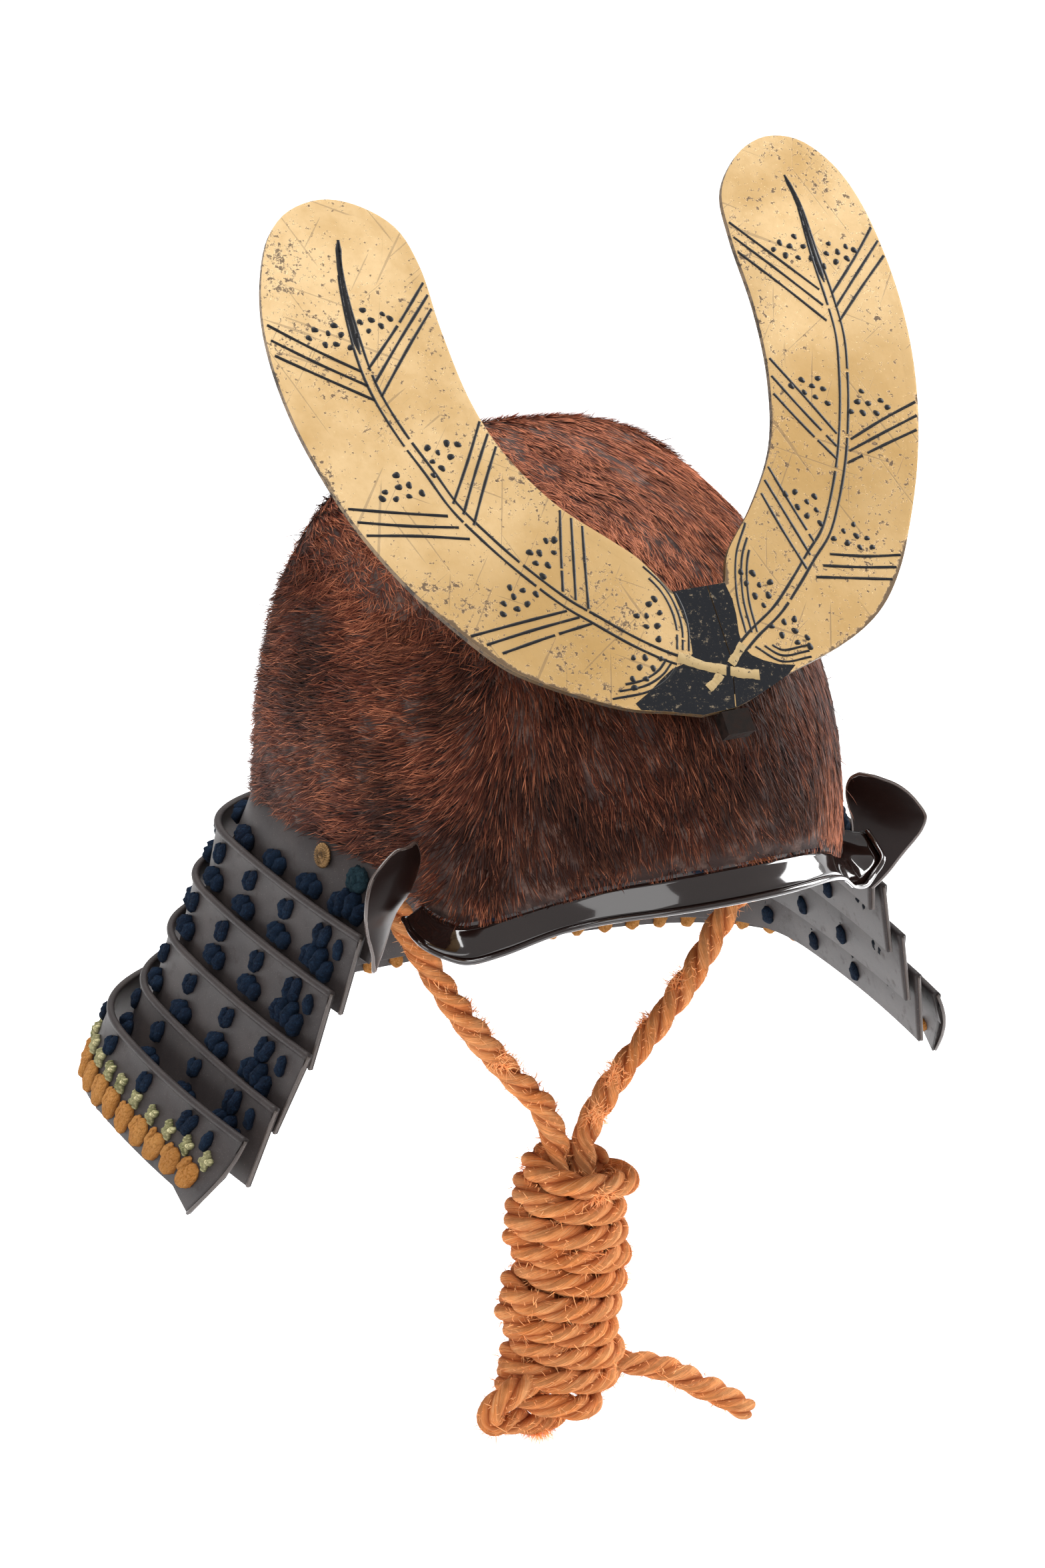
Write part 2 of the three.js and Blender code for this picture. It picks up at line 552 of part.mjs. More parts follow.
function dome12({ at, out, up }, halfWidth, halfHeight, rise, sides) {
  const sideways = up.clone().cross(out).normalize();
  const ring = (share, z) => Array.from({ length: sides }, (_, i) => {
    const turn = (2 * Math.PI * i) / sides;
    return at.clone().addScaledVector(out, z)
      .addScaledVector(sideways, halfWidth * share * Math.cos(turn))
      .addScaledVector(up, halfHeight * share * Math.sin(turn));
  });
  const fan = Array.from({ length: sides - 2 }, (_, i) => [0, i + 1, i + 2]);
  const foot = 4 * GAP;
  return turnedOut(loft([ring(1, foot), ring(0.95, foot + rise * 0.6), ring(0.5, foot + rise)], fan));
}

// ---- chin cord ---------------------------------------------------------------------------
function ropeTube(route, steps) {
  const curve = new THREE.CatmullRomCurve3(route.map((p) => new THREE.Vector3(...p)), false, "centripetal");
  const circle = new THREE.Shape(Array.from({ length: ROPE.sides }, (_, i) => {
    const turn = (2 * Math.PI * i) / ROPE.sides;
    return new THREE.Vector2(Math.cos(turn), Math.sin(turn)).multiplyScalar(ROPE.diameter / 2);
  }));
  return new THREE.ExtrudeGeometry(circle, { steps, extrudePath: curve, bevelEnabled: false });
}

function coil() {
  const C = COIL;
  const round = 6;
  const profile = [[0, 0], [0.82, 0], [1, round], [1, C.length - round], [0.82, C.length], [0, C.length]];
  const rings = profile.slice(1, -1).map(([share, down]) =>
    Array.from({ length: C.sides }, (_, i) => {
      const turn = (2 * Math.PI * i) / C.sides;
      return new THREE.Vector3(C.topX + C.halfWidth * share * Math.cos(turn) + (C.leanX * down) / C.length,
        C.y + C.halfDepth * share * Math.sin(turn), C.top - down);
    }));
  const fan = Array.from({ length: C.sides - 2 }, (_, i) => [0, i + 1, i + 2]);
  return turnedOut(loft(rings, fan));
}

// ---- assembly ----------------------------------------------------------------------------
add("fur_hide", dome(0, HIDE_THICKNESS, 0), HIDE);
add("bowl", dome(HIDE_THICKNESS + 2 * GAP, BOWL_THICKNESS, 1), IRON);
add("top_plate", topPlate(), LACQUER);
neckGuard();
add("visor", visor(), GLOSS_LACQUER);
for (const [side, word] of [[1, "left"], [-1, "right"]]) {
  add("turnback_" + word, turnback(side), GLOSS_LACQUER);
  crestPlate(side);
  const rivet = spotOnTopPlate(side, ROSETTE.y, ROSETTE.z);
  add("rosette_" + word, dome12(rivet, ROSETTE.radius, ROSETTE.radius, ROSETTE.rise, ROSETTE.petals), GILT);
  const braid = spotOnTopPlate(side, SIDE_KNOT.y, SIDE_KNOT.z);
  add("side_knot_" + word,
    dome12(braid, SIDE_KNOT.length / 2, SIDE_KNOT.height / 2, SIDE_KNOT.rise, 8), BRAID_BLUE);
}
socket();
add("cord_loop", ropeTube(LOOP_ROUTE, 60), ROPE_ORANGE);
add("cord_coil", coil(), ROPE_ORANGE);
add("cord_foot", ropeTube(FOOT_ROUTE, 10), ROPE_ORANGE);
add("cord_tail", ropeTube(TAIL_ROUTE, 14), ROPE_ORANGE);

export default helmet;
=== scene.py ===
"""Dresses a samurai helmet: fur over the bowl, lacquer, braid lacing, gold crest and chin cord.

Lengths are in millimetres about the middle of the bowl's rim (x to the wearer's left, -y to
the front, z up) and are moved to the row frame, in metres, when a piece is made. Only the
chin cord's plan, the lamps and the camera are given in metres in the row frame.
"""
import logging
import math
from dataclasses import dataclass, field, replace
from enum import Enum, IntEnum

import bpy
import numpy as np
from mathutils import Matrix
from mathutils.geometry import tessellate_polygon


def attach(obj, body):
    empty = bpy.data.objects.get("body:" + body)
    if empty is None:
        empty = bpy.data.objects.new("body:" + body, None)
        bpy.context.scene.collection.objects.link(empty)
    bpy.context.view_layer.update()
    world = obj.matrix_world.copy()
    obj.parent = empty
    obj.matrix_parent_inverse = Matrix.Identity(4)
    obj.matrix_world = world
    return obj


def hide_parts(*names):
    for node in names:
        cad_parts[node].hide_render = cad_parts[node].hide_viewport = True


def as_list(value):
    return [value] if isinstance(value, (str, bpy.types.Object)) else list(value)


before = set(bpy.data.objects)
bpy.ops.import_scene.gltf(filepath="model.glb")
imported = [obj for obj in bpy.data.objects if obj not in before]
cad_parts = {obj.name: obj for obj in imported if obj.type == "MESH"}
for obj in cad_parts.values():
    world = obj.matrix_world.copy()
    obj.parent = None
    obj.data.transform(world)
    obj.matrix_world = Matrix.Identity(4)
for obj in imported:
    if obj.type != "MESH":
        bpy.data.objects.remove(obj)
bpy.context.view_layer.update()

SEAT = np.array([0.0, 10.0, 139.0])  # the row frame's origin, in the rim frame
MM = 0.001
BODY = "root"
UNDER_HIDE = 1.8  # how far upper edges of plates lie below the hide's edge
LOG = logging.getLogger("helmet")

Array = np.ndarray
Socket = bpy.types.NodeSocket
Piece = bpy.types.Object
Material = bpy.types.Material
Colour = tuple[float, float, float]
Point = tuple[float, float, float]
Flat = tuple[float, float]
Row = tuple[float, float, float, float, float]


# ---- small tools ----
def to_row(points: Array) -> Array:
    """Moves points from the rim frame in mm to the row frame in metres."""
    return (np.asarray(points, float) - SEAT) * MM


def unit(v: Array) -> Array:
    """Scales vectors to length one."""
    return v / np.maximum(np.linalg.norm(v, axis=-1, keepdims=True), 1e-12)


def curve_through(points: Array, count: int) -> Array:
    """Samples a smooth curve through points, evenly by length.

    Args:
        points: The points that the curve goes through, n by 2 or 3.
        count: Number of samples.
    Returns:
        The samples, count by 2 or 3.
    """
    p = np.asarray(points, float)
    p = np.vstack([2 * p[0] - p[1], p, 2 * p[-1] - p[-2]])
    knots = np.concatenate([[0], np.cumsum(np.linalg.norm(np.diff(p, axis=0), axis=1) ** 0.5)])
    out = []
    for i in range(1, len(p) - 2):
        t = np.linspace(knots[i], knots[i + 1], 24, endpoint=i == len(p) - 3)[:, None]
        k = knots[i - 1:i + 3]
        a = [(k[j + 1] - t) / (k[j + 1] - k[j]) * p[i - 1 + j]
             + (t - k[j]) / (k[j + 1] - k[j]) * p[i + j] for j in range(3)]
        b = [(k[j + 2] - t) / (k[j + 2] - k[j]) * a[j]
             + (t - k[j]) / (k[j + 2] - k[j]) * a[j + 1] for j in range(2)]
        out.append((k[2] - t) / (k[2] - k[1]) * b[0] + (t - k[1]) / (k[2] - k[1]) * b[1])
    return resample(np.vstack(out), count)


def resample(line: Array, count: int) -> Array:
    """Places points evenly along a polyline.

    Args:
        line: The polyline's points.
        count: Number of points wanted.
    Returns:
        The evenly spaced points.
    """
    at = np.concatenate([[0], np.cumsum(np.linalg.norm(np.diff(line, axis=0), axis=1))])
    goal = np.linspace(0, at[-1], count)
    return np.stack([np.interp(goal, at, line[:, k]) for k in range(line.shape[1])], axis=1)


def length_of(line: Array) -> float:
    """Length of a polyline."""
    return float(np.linalg.norm(np.diff(line, axis=0), axis=1).sum())


def carried_frames(line: Array) -> tuple[Array, Array, Array]:
    """Frames that travel along a line without turning about it.

    Args:
        line: The centreline.
    Returns:
        The tangents and the two side directions at each point.
    """
    tangent = unit(np.gradient(line, axis=0))
    side = np.zeros_like(line)
    start = np.array([0.0, 1.0, 0.0]) if abs(tangent[0][1]) < 0.8 else np.array([1.0, 0, 0])
    side[0] = unit(start - tangent[0] * (start @ tangent[0]))
    for i in range(1, len(line)):
        s = side[i - 1] - tangent[i] * (side[i - 1] @ tangent[i])
        side[i] = unit(s)
    return tangent, side, np.cross(tangent, side)


def held(value: Array) -> Array:
    """Holds values between 0 and 1."""
    return np.clip(value, 0, 1)


def eased(low: float, high: float, value: Array) -> Array:
    """Rises smoothly from 0 at one value to 1 at another."""
    t = held((value - low) / (high - low))
    return t ** 2 * (3 - 2 * t)


def left_of(line: Array) -> Array:
    """Unit directions to the left of a flat line's way."""
    way = unit(np.gradient(line, axis=0))
    return np.stack([-way[:, 1], way[:, 0]], axis=1)


def cells(grid: Array) -> tuple[Array, ...]:
    """The four corners of each cell of a grid, in order round the cell."""
    return grid[:-1, :-1], grid[:-1, 1:], grid[1:, 1:], grid[1:, :-1]


def circle(count: int) -> Array:
    """Angles of points evenly round a circle, in radians."""
    return np.linspace(0, 2 * np.pi, count, endpoint=False)


def placing(axes: tuple[Point, Point, Point], place: Point) -> Matrix:
    """The matrix of an object with the given x, y and z axes."""
    return Matrix([[*(axis[i] for axis in axes), place[i]] for i in range(3)] + [[0, 0, 0, 1]])


def linked(name: str, data: bpy.types.ID) -> Piece:
    """Makes an object and links it to the scene.

    Args:
        name: Its name.
        data: Its mesh, light or camera.
    Returns:
        The object.
    """
    made = bpy.data.objects.new(name, data)
    bpy.context.scene.collection.objects.link(made)
    return made


class Side(IntEnum):
    """A side of the helmet, as the sign of its x."""

    LEFT = 1
    RIGHT = -1

    @property
    def word(self) -> str:
        """The side's word in the names of pieces."""
        return self.name.lower()


@dataclass
class Waves:
    """Smooth seeded noise in space, made of a few plane waves."""

    seed: int
    size: float
    count: int = 14

    def at(self, points: Array) -> Array:
        """Noise at points.

        Args:
            points: Points in mm.
        Returns:
            Values about 0, mostly between -1 and 1.
        """
        rng = np.random.default_rng(self.seed)
        ways = unit(rng.normal(size=(self.count, 3))) * (2 * np.pi / self.size)
        ways = ways * rng.uniform(0.5, 1.6, (self.count, 1))
        shift = rng.uniform(0, 2 * np.pi, self.count)
        return np.sin(points @ ways.T + shift).sum(axis=-1) / math.sqrt(self.count / 2)


@dataclass
class Surface:
    """Collects vertices and faces of one piece, in mm."""

    name: str
    points: list[Array] = field(default_factory=list)
    faces: list[Array] = field(default_factory=list)
    looks: list[Array] = field(default_factory=list)
    uvs: list[Array] = field(default_factory=list)
    tints: list[Array] = field(default_factory=list)
    size: int = 0

    def add(self, points: Array, faces: Array, look: int = 0,
            uv: Array | None = None, tint: Array | None = None) -> None:
        """Adds a patch.

        Args:
            points: Vertices, n by 3.
            faces: Faces, m by 3 or m by 4.
            look: Index of the patch's finish.
            uv: Surface coordinates of each vertex, n by 2.
            tint: A value of each vertex that finishes may use, n or n by 3.
        """
        points = np.asarray(points, float).reshape(-1, 3)
        self.points.append(points)
        self.add_faces(np.asarray(faces, int) + self.size, look)
        self.uvs.append(np.zeros((len(points), 2)) if uv is None else np.asarray(uv, float))
        tint = np.zeros(len(points)) if tint is None else np.asarray(tint, float)
        self.tints.append(np.repeat(tint[:, None], 3, axis=1) if tint.ndim == 1 else tint)
        self.size += len(points)

    def add_faces(self, faces: Array, look: int = 0) -> None:
        """Adds faces over points of the surface, by the points' own indexes."""
        self.faces.append(faces)
        self.looks.append(np.full(len(faces), look))

    def add_grid(self, grid: Array, closed_rows: bool = False, look: int = 0,
                 uv: Array | None = None, tint: Array | None = None,
                 caps: bool = False) -> None:
        """Adds a grid of points as quads.

        Args:
            grid: Points, rows by columns by 3.
            closed_rows: Whether each row closes on itself.
            look: Index of the patch's finish.
            uv: Surface coordinates, rows by columns by 2.
            tint: Values, rows by columns or rows by columns by 3.
            caps: Whether a fan closes the first and the last row.
        """
        rows, columns = grid.shape[:2]
        index = np.arange(rows * columns).reshape(rows, columns)
        if closed_rows:
            index = np.hstack([index, index[:, :1]])
        faces = np.stack(cells(index), axis=-1).reshape(-1, 4)
        flat_uv = None if uv is None else uv.reshape(-1, 2)
        flat_tint = None if tint is None else tint.reshape(rows * columns, -1).squeeze()
        start = self.size
        self.add(grid, faces, look, flat_uv, flat_tint)
        if caps and closed_rows:
            for row, turned in ((0, True), (rows - 1, False)):
                ring = start + row * columns + np.arange(columns)
                middle, tip_uv, tip_tint = (None if v is None else v[row].mean(axis=0, keepdims=True)
                                            for v in (grid, uv, tint))
                self.add(middle, np.zeros((0, 3), int), look, tip_uv, tip_tint)
                fan = np.stack([np.full(columns, self.size - 1), ring, np.roll(ring, -1)], axis=1)
                self.add_faces(fan[:, ::-1] if turned else fan, look)

    def add_closed(self, grid: Array, look: int = 0, uv: Array | None = None,
                   tint: Array | None = None) -> None:
        """Adds a body of rows that close on themselves, with a fan over each end."""
        self.add_grid(grid, True, look, uv, tint, True)

    def build(self, finishes: list[Material],
              replaces: tuple[str, ...] = (), smooth: bool = True) -> Piece:
        """Makes the piece and lets it ride on the helmet.

        Args:
            finishes: Materials, in the order of the patches' indexes.
            replaces: CAD nodes that the piece stands for.
            smooth: Whether faces are shaded smooth.
        Returns:
            The object.
        """
        points = to_row(np.vstack(self.points))
        mesh = bpy.data.meshes.new(self.name)
        sizes = np.concatenate([np.full(len(f), f.shape[1] if len(f) else 3) for f in self.faces])
        corners = np.concatenate([f.reshape(-1) for f in self.faces])
        mesh.vertices.add(len(points))
        mesh.vertices.foreach_set("co", points.reshape(-1).astype(np.float32))
        mesh.loops.add(len(corners))
        mesh.loops.foreach_set("vertex_index", corners.astype(np.int32))
        mesh.polygons.add(len(sizes))
        starts = np.concatenate([[0], np.cumsum(sizes)[:-1]])
        mesh.polygons.foreach_set("loop_start", starts.astype(np.int32))
        mesh.polygons.foreach_set("material_index", np.concatenate(self.looks).astype(np.int32))
        mesh.polygons.foreach_set("use_smooth", np.full(len(sizes), smooth))
        layer = mesh.uv_layers.new(name="UVMap")
        layer.data.foreach_set("uv", np.vstack(self.uvs)[corners].reshape(-1).astype(np.float32))
        tint = mesh.color_attributes.new("Tint", "FLOAT_COLOR", "POINT")
        rgba = np.hstack([np.vstack(self.tints), np.ones((len(points), 1))])
        tint.data.foreach_set("color", rgba.reshape(-1).astype(np.float32))
        mesh.update(calc_edges=True)
        mesh.validate()
        for finish in finishes:
            mesh.materials.append(finish)
        piece = linked(self.name, mesh)
        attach(piece, BODY)
        if replaces:
            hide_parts(*replaces)
        return piece


# ---- finishes ----
class Graph:
    """A material's node graph, built up call by call."""

    def __init__(self, name: str) -> None:
        """Starts the graph of a new material.

        Args:
            name: The material's name.
        """
        self.material = bpy.data.materials.new(name)
        self.material.use_nodes = True
        self.tree = self.material.node_tree
        self.shader = self.tree.nodes["Principled BSDF"]

    def node(self, kind: str, inputs: dict[str, object] | None = None,
             **settings: object) -> bpy.types.Node:
        """Adds a node.

        Args:
            kind: The node's type, without its ShaderNode prefix.
            inputs: Values or sockets for its inputs, by name or index.
            **settings: The node's own properties.
        Returns:
            The node.
        """
        made = self.tree.nodes.new("ShaderNode" + kind)
        for name, value in settings.items():
            setattr(made, name, value)
        for name, value in (inputs or {}).items():
            self.put(made.inputs[name], value)
        return made

    def put(self, socket: Socket, value: object) -> None:
        """Links a socket to an input, or sets the input's value.

        Args:
            socket: The input.
            value: A socket, a number or a colour.
        """
        if isinstance(value, Socket):
            self.tree.links.new(value, socket)
        elif isinstance(value, tuple) and len(value) == 3 and socket.type == "RGBA":
            socket.default_value = (*value, 1.0)
        else:
            socket.default_value = value

    def noise(self, scale: float, detail: float = 4.0, rough: float = 0.6) -> Socket:
        """Adds a noise texture, its scale in turns for each metre."""
        return self.node("TexNoise", {"Vector": self.coordinates(), "Scale": scale, "Detail": detail,
                                      "Roughness": rough}).outputs["Fac"]

    def coordinates(self, kind: str = "Object") -> Socket:
        """Texture coordinates of the piece."""
        return self.node("TexCoord").outputs[kind]

    def stretched(self, scale: Point, turn: Point = (0, 0, 0)) -> Socket:
        """Surface coordinates, turned by angles in radians and then scaled along each axis."""
        turned = self.node("Mapping", {"Vector": self.coordinates("UV"), "Rotation": turn})
        return self.node("Mapping", {"Vector": turned.outputs[0], "Scale": scale}).outputs[0]

    def ramp(self, value: Socket, low: float, high: float) -> Socket:
        """Maps a range of values onto 0 to 1, clamped and eased."""
        return self.node("MapRange", {"Value": value, "From Min": low, "From Max": high},
                         interpolation_type="SMOOTHSTEP").outputs[0]

    def math(self, kind: str, a: object, b: object = 0.0) -> Socket:
        """Adds a math node."""
        return self.node("Math", {0: a, 1: b}, operation=kind).outputs[0]

    def times(self, a: object, b: object) -> Socket:
        """Multiplies two values."""
        return self.math("MULTIPLY", a, b)

    def mix(self, share: object, a: object, b: object) -> Socket:
        """Mixes two colours."""
        return self.node("Mix", {0: share, 6: a, 7: b}, data_type="RGBA").outputs[2]

    def mix_value(self, share: object, a: float, b: float) -> Socket:
        """Mixes two numbers."""
        return self.node("Mix", {0: share, 2: a, 3: b}, data_type="FLOAT").outputs[0]

    def bump(self, height: Socket, distance: float, strength: float = 1.0,
             below: Socket | None = None) -> Socket:
        """Adds a bump.

        Args:
            height: Height, 0 to 1.
            distance: Its depth in metres.
            strength: Its strength.
            below: A bump that it lies on.
        Returns:
            The bumped normal.
        """
        made = self.node("Bump", {"Height": height, "Distance": distance, "Strength": strength})
        if below is not None:
            self.put(made.inputs["Normal"], below)
        return made.outputs[0]

    def finish(self, **sockets: object) -> Material:
        """Connects the shader.

        Args:
            **sockets: Values of the shader's inputs, with _ for a space.
        Returns:
            The material.
        """
        for name, value in sockets.items():
            self.put(self.shader.inputs[name.replace("_", " ")], value)
        return self.material


@dataclass(frozen=True)
class Lacquer:
    """Lacquer over metal, satin or glossy.

    Args:
        dusty: The colour of dust and rubbed places.
        dust: How much dust lies on it, 0 to 1.
        coat: Weight of the clear coat.
        ripple: Depth of its unevenness, in metres.
        shine: Its specular level.
    """

    name: str
    colour: Colour
    dusty: Colour
    gloss: float
    dust: float = 0.3
    coat: float = 0.0
    ripple: float = 0.00004
    shine: float = 0.5

    def material(self) -> Material:
        """Builds the material.

        Returns:
            The material.
        """
        g = Graph(self.name)
        cloud = g.ramp(g.noise(38, 6), 0.35, 0.75)
        specks = g.ramp(g.noise(2600, 2, 0.5), 0.66, 0.74)
        rubbed = g.ramp(g.noise(160, 8, 0.75), 0.52, 0.78)
        colour = g.mix(g.times(cloud, self.dust), self.colour, self.dusty)
        colour = g.mix(g.times(rubbed, self.dust * 0.5), colour, self.dusty)
        colour = g.mix(g.times(specks, min(1.0, self.dust * 1.6)), colour,
                       tuple(min(1.0, c * 2.2 + 0.03) for c in self.dusty))
        rough = g.mix_value(g.times(rubbed, 0.8), self.gloss, min(1.0, self.gloss * 1.6 + 0.05))
        waves = g.bump(g.noise(26, 2), self.ripple * 8, 0.6)
        grain = g.bump(g.noise(1500, 3), self.ripple, 0.5, waves)
        return g.finish(Base_Color=colour, Roughness=rough, Normal=grain, Coat_Weight=self.coat,
                        Coat_Roughness=0.04, Specular_IOR_Level=self.shine)


@dataclass(frozen=True)
class GoldLeaf:
    """Old gold leaf on lacquer, speckled and scratched.

    Args:
        wear: Share of the surface that is worn, 0 to 1.
    """

    name: str
    light: Colour
    warm: Colour
    deep: Colour
    worn: Colour
    wear: float

    def material(self) -> Material:
        """Builds the material.

        Returns:
            The material.
        """
        g = Graph(self.name)
        cloud = g.ramp(g.noise(22, 5), 0.35, 0.7)
        colour = g.mix(cloud, self.light, self.warm)
        squares = g.ramp(g.noise(300, 5, 0.7), 0.4, 0.8)
        broad = g.ramp(g.noise(8.5, 2, 0.45), 0.42, 0.62)
        colour = g.mix(g.times(broad, 0.55), colour, self.deep)
        # Painted shade: the gold is darker towards the bottom of each plate and lighter at the top, as
        # the light falls.
        height = g.node("SeparateXYZ", {"Vector": g.coordinates()}).outputs[2]
        painted_low_shade = g.math("SUBTRACT", 1.0, g.ramp(height, -0.045, 0.06))
        colour = g.mix(g.times(painted_low_shade, 0.5), colour, self.deep)
        colour = g.mix(g.times(squares, 0.35), colour, self.warm)
        patches = g.ramp(g.noise(30, 3), 0.35, 0.75)
        fine = g.noise(470, 7, 0.72)
        limit = 0.635 - 0.10 * self.wear
        shift = g.mix_value(patches, 0.035, -0.035)
        fine = g.math("SUBTRACT", fine, shift)
        specks = g.ramp(fine, limit, limit + 0.03)
        torn = g.math("SUBTRACT", g.noise(130, 10, 0.8), g.mix_value(patches, 0.04, -0.03))
        chips = g.ramp(torn, 0.645 - 0.10 * self.wear, 0.675 - 0.10 * self.wear)
        rim = g.node("Attribute", attribute_name="Tint").outputs["Fac"]
        ragged = g.math("ADD", rim, g.times(g.noise(240, 8, 0.8), 1.5))
        chips = g.math("MAXIMUM", chips, g.ramp(ragged, 1.12, 1.34))
        lost = g.math("MAXIMUM", specks, chips)
        scratches = 0.0
        for turn, scale in ((0.5, 1.0), (-0.9, 1.3), (1.9, 0.8), (2.6, 1.1), (1.2, 0.9)):
            where = g.stretched((0.014 * scale, 0.42 * scale, 1), (0, 0, turn))
            lines = g.node("TexNoise", {"Vector": where, "Scale": 1.0, "Detail": 1.0,
                                        "Distortion": 0.5}).outputs[0]
            scratch = g.ramp(lines, 0.715, 0.735)
            scratches = g.math("MAXIMUM", scratches, scratch)
        lost = g.math("MAXIMUM", lost, g.times(scratches, 0.55))
        colour = g.mix(g.times(lost, 0.88), colour, self.worn)
        rough = g.mix_value(lost, 0.34, 0.7)
        metal = g.mix_value(lost, 0.42, 0.0)
        swells = g.bump(g.noise(13, 1), 0.006, 0.5)
        dents = g.bump(g.noise(60, 4, 0.6), 0.0007, 0.4, swells)
        relief = g.bump(g.math("SUBTRACT", 1.0, lost), 0.00006, 0.6, dents)
        return g.finish(Base_Color=colour, Roughness=rough, Metallic=metal, Normal=relief)


@dataclass(frozen=True)
class Ink:
    """A painted line or patch that has flaked in places.

    Args:
        flaked: Share that has flaked, 0 to 1.
    """

    name: str
    colour: Colour
    under: Colour
    flaked: float
    gloss: float = 0.4

    def material(self) -> Material:
        """Builds the material.

        Returns:
            The material.
        """
        g = Graph(self.name)
        limit = 0.80 - 0.30 * self.flaked
        flakes = g.ramp(g.noise(420, 8, 0.75), limit - 0.03, limit + 0.03)
        specks = g.ramp(g.noise(1600, 4, 0.6), 0.72 - 0.1 * self.flaked, 0.78 - 0.1 * self.flaked)
        lost = g.math("MAXIMUM", flakes, specks)
        colour = g.mix(lost, self.colour, self.under)
        relief = g.bump(g.noise(900, 4), 0.0001, 0.5)
        return g.finish(Base_Color=colour, Roughness=g.mix_value(lost, self.gloss, 0.6),
                        Normal=relief, Specular_IOR_Level=0.3)


@dataclass(frozen=True)
class Fibre:
    """Twisted or braided yarn, its fibres along the surface's v direction.

    Args:
        along: Fibre pattern's scale along the yarn.
        across: Fibre pattern's scale across the yarn.
        depth: Relief in metres.
        woven: Whether the yarn is braided rather than twisted.
    """

    name: str
    colour: Colour
    pale: Colour
    deep: Colour
    along: float
    across: float
    depth: float
    woven: bool = False

    def material(self) -> Material:
        """Builds the material.

        Returns:
            The material.
        """
        g = Graph(self.name)
        where = g.stretched((self.across, self.along, 1))
        fibres = g.node("TexNoise", {"Vector": where, "Scale": 1.0, "Detail": 6.0,
                                     "Roughness": 0.7, "Distortion": 0.6}).outputs[0]
        cloud = g.ramp(g.noise(55, 5), 0.3, 0.72)
        patches = g.ramp(g.noise(170, 4), 0.35, 0.7)
        colour = g.mix(g.ramp(fibres, 0.34, 0.5), self.deep, self.colour)
        colour = g.mix(g.times(g.ramp(fibres, 0.5, 0.66), 0.85), colour, self.pale)
        colour = g.mix(g.times(cloud, 0.35), colour, self.pale)
        colour = g.mix(g.times(patches, 0.3), colour, self.deep)
        # Painted crease shade: the vertex Tint darkens the yarn towards its deep colour in the grooves
        # between strands and on the undersides of lobes.
        painted_crease_shade = g.node("Attribute", attribute_name="Tint").outputs["Fac"]
        colour = g.mix(g.times(painted_crease_shade, 0.8), colour, self.deep)
        relief = g.bump(fibres, self.depth, 0.9)
        if self.woven:
            waves = [g.node("TexWave", {"Vector": g.stretched((slant, 5, 1)), "Scale": 1.0,
                                        "Distortion": 1.5, "Detail": 2.0},
                            wave_type="BANDS", bands_direction="DIAGONAL").outputs["Fac"]
                     for slant in (6, -6)]
            cross = g.math("MAXIMUM", *waves)
            relief = g.bump(cross, self.depth * 1.6, 0.8, relief)
            colour = g.mix(g.times(g.math("SUBTRACT", 1.0, cross), 0.55), colour, self.deep)
        return g.finish(Base_Color=colour, Roughness=0.88, Normal=relief, Specular_IOR_Level=0.12)


@dataclass(frozen=True)
class Hair:
    """Short hair, its colour carried by each hair's tint."""

    name: str
    root: Colour
    middle: Colour
    tip: Colour
    gloss: float = 0.42

    def material(self) -> Material:
        """Builds the material.

        Returns:
            The material.
        """
        g = Graph(self.name)
        tint = g.node("Attribute", attribute_name="Tint")
        parts = g.node("SeparateColor", {"Color": tint.outputs["Color"]})
        along, shade, warmth = (parts.outputs[k] for k in range(3))
        colour = g.mix(g.ramp(along, 0.0, 0.5), self.root, self.middle)
        tips = g.times(g.ramp(along, 0.35, 1.0), warmth)
        colour = g.mix(tips, colour, self.tip)
        # The shade channel sets each hair's brightness: its own tone plus a painted highlight on the
        # crown and painted shade low on the front.
        dark = g.node("HueSaturation", {"Color": colour, "Value": g.mix_value(shade, 0.26, 1.6)})
        return g.finish(Base_Color=dark.outputs[0], Roughness=self.gloss, Specular_IOR_Level=0.09)


@dataclass(frozen=True)
class Skin:
    """The hide under the hair, leather where the hair is worn off."""

    name: str
    colour: Colour
    bare: Colour

    def material(self) -> Material:
        """Builds the material.

        Returns:
            The material.
        """
        g = Graph(self.name)
        worn = g.ramp(g.noise(130, 6, 0.7), 0.45, 0.7)
        colour = g.mix(worn, self.colour, self.bare)
        relief = g.bump(g.noise(900, 6, 0.7), 0.0005, 0.8)
        return g.finish(Base_Color=colour, Roughness=0.85, Normal=relief)


@dataclass(frozen=True)
class Metal:
    """Bare or gilt metal with a patina."""

    name: str
    colour: Colour
    patina: Colour
    gloss: float
    metallic: float = 1.0
    hammered: float = 0.0

    def material(self) -> Material:
        """Builds the material.

        Returns:
            The material.
        """
        g = Graph(self.name)
        dull = g.ramp(g.noise(240, 7, 0.7), 0.4, 0.7)
        colour = g.mix(dull, self.colour, self.patina)
        marks = g.node("TexVoronoi", {"Vector": g.coordinates(), "Scale": 110.0},
                       feature="SMOOTH_F1").outputs["Distance"]
        relief = g.bump(marks, max(self.hammered, 0.00002), 0.6)
        fine = g.bump(g.noise(1400, 5), 0.00008, 0.5, relief)
        return g.finish(Base_Color=colour, Metallic=self.metallic, Normal=fine,
                        Roughness=g.mix_value(dull, self.gloss, min(1.0, self.gloss + 0.3)))


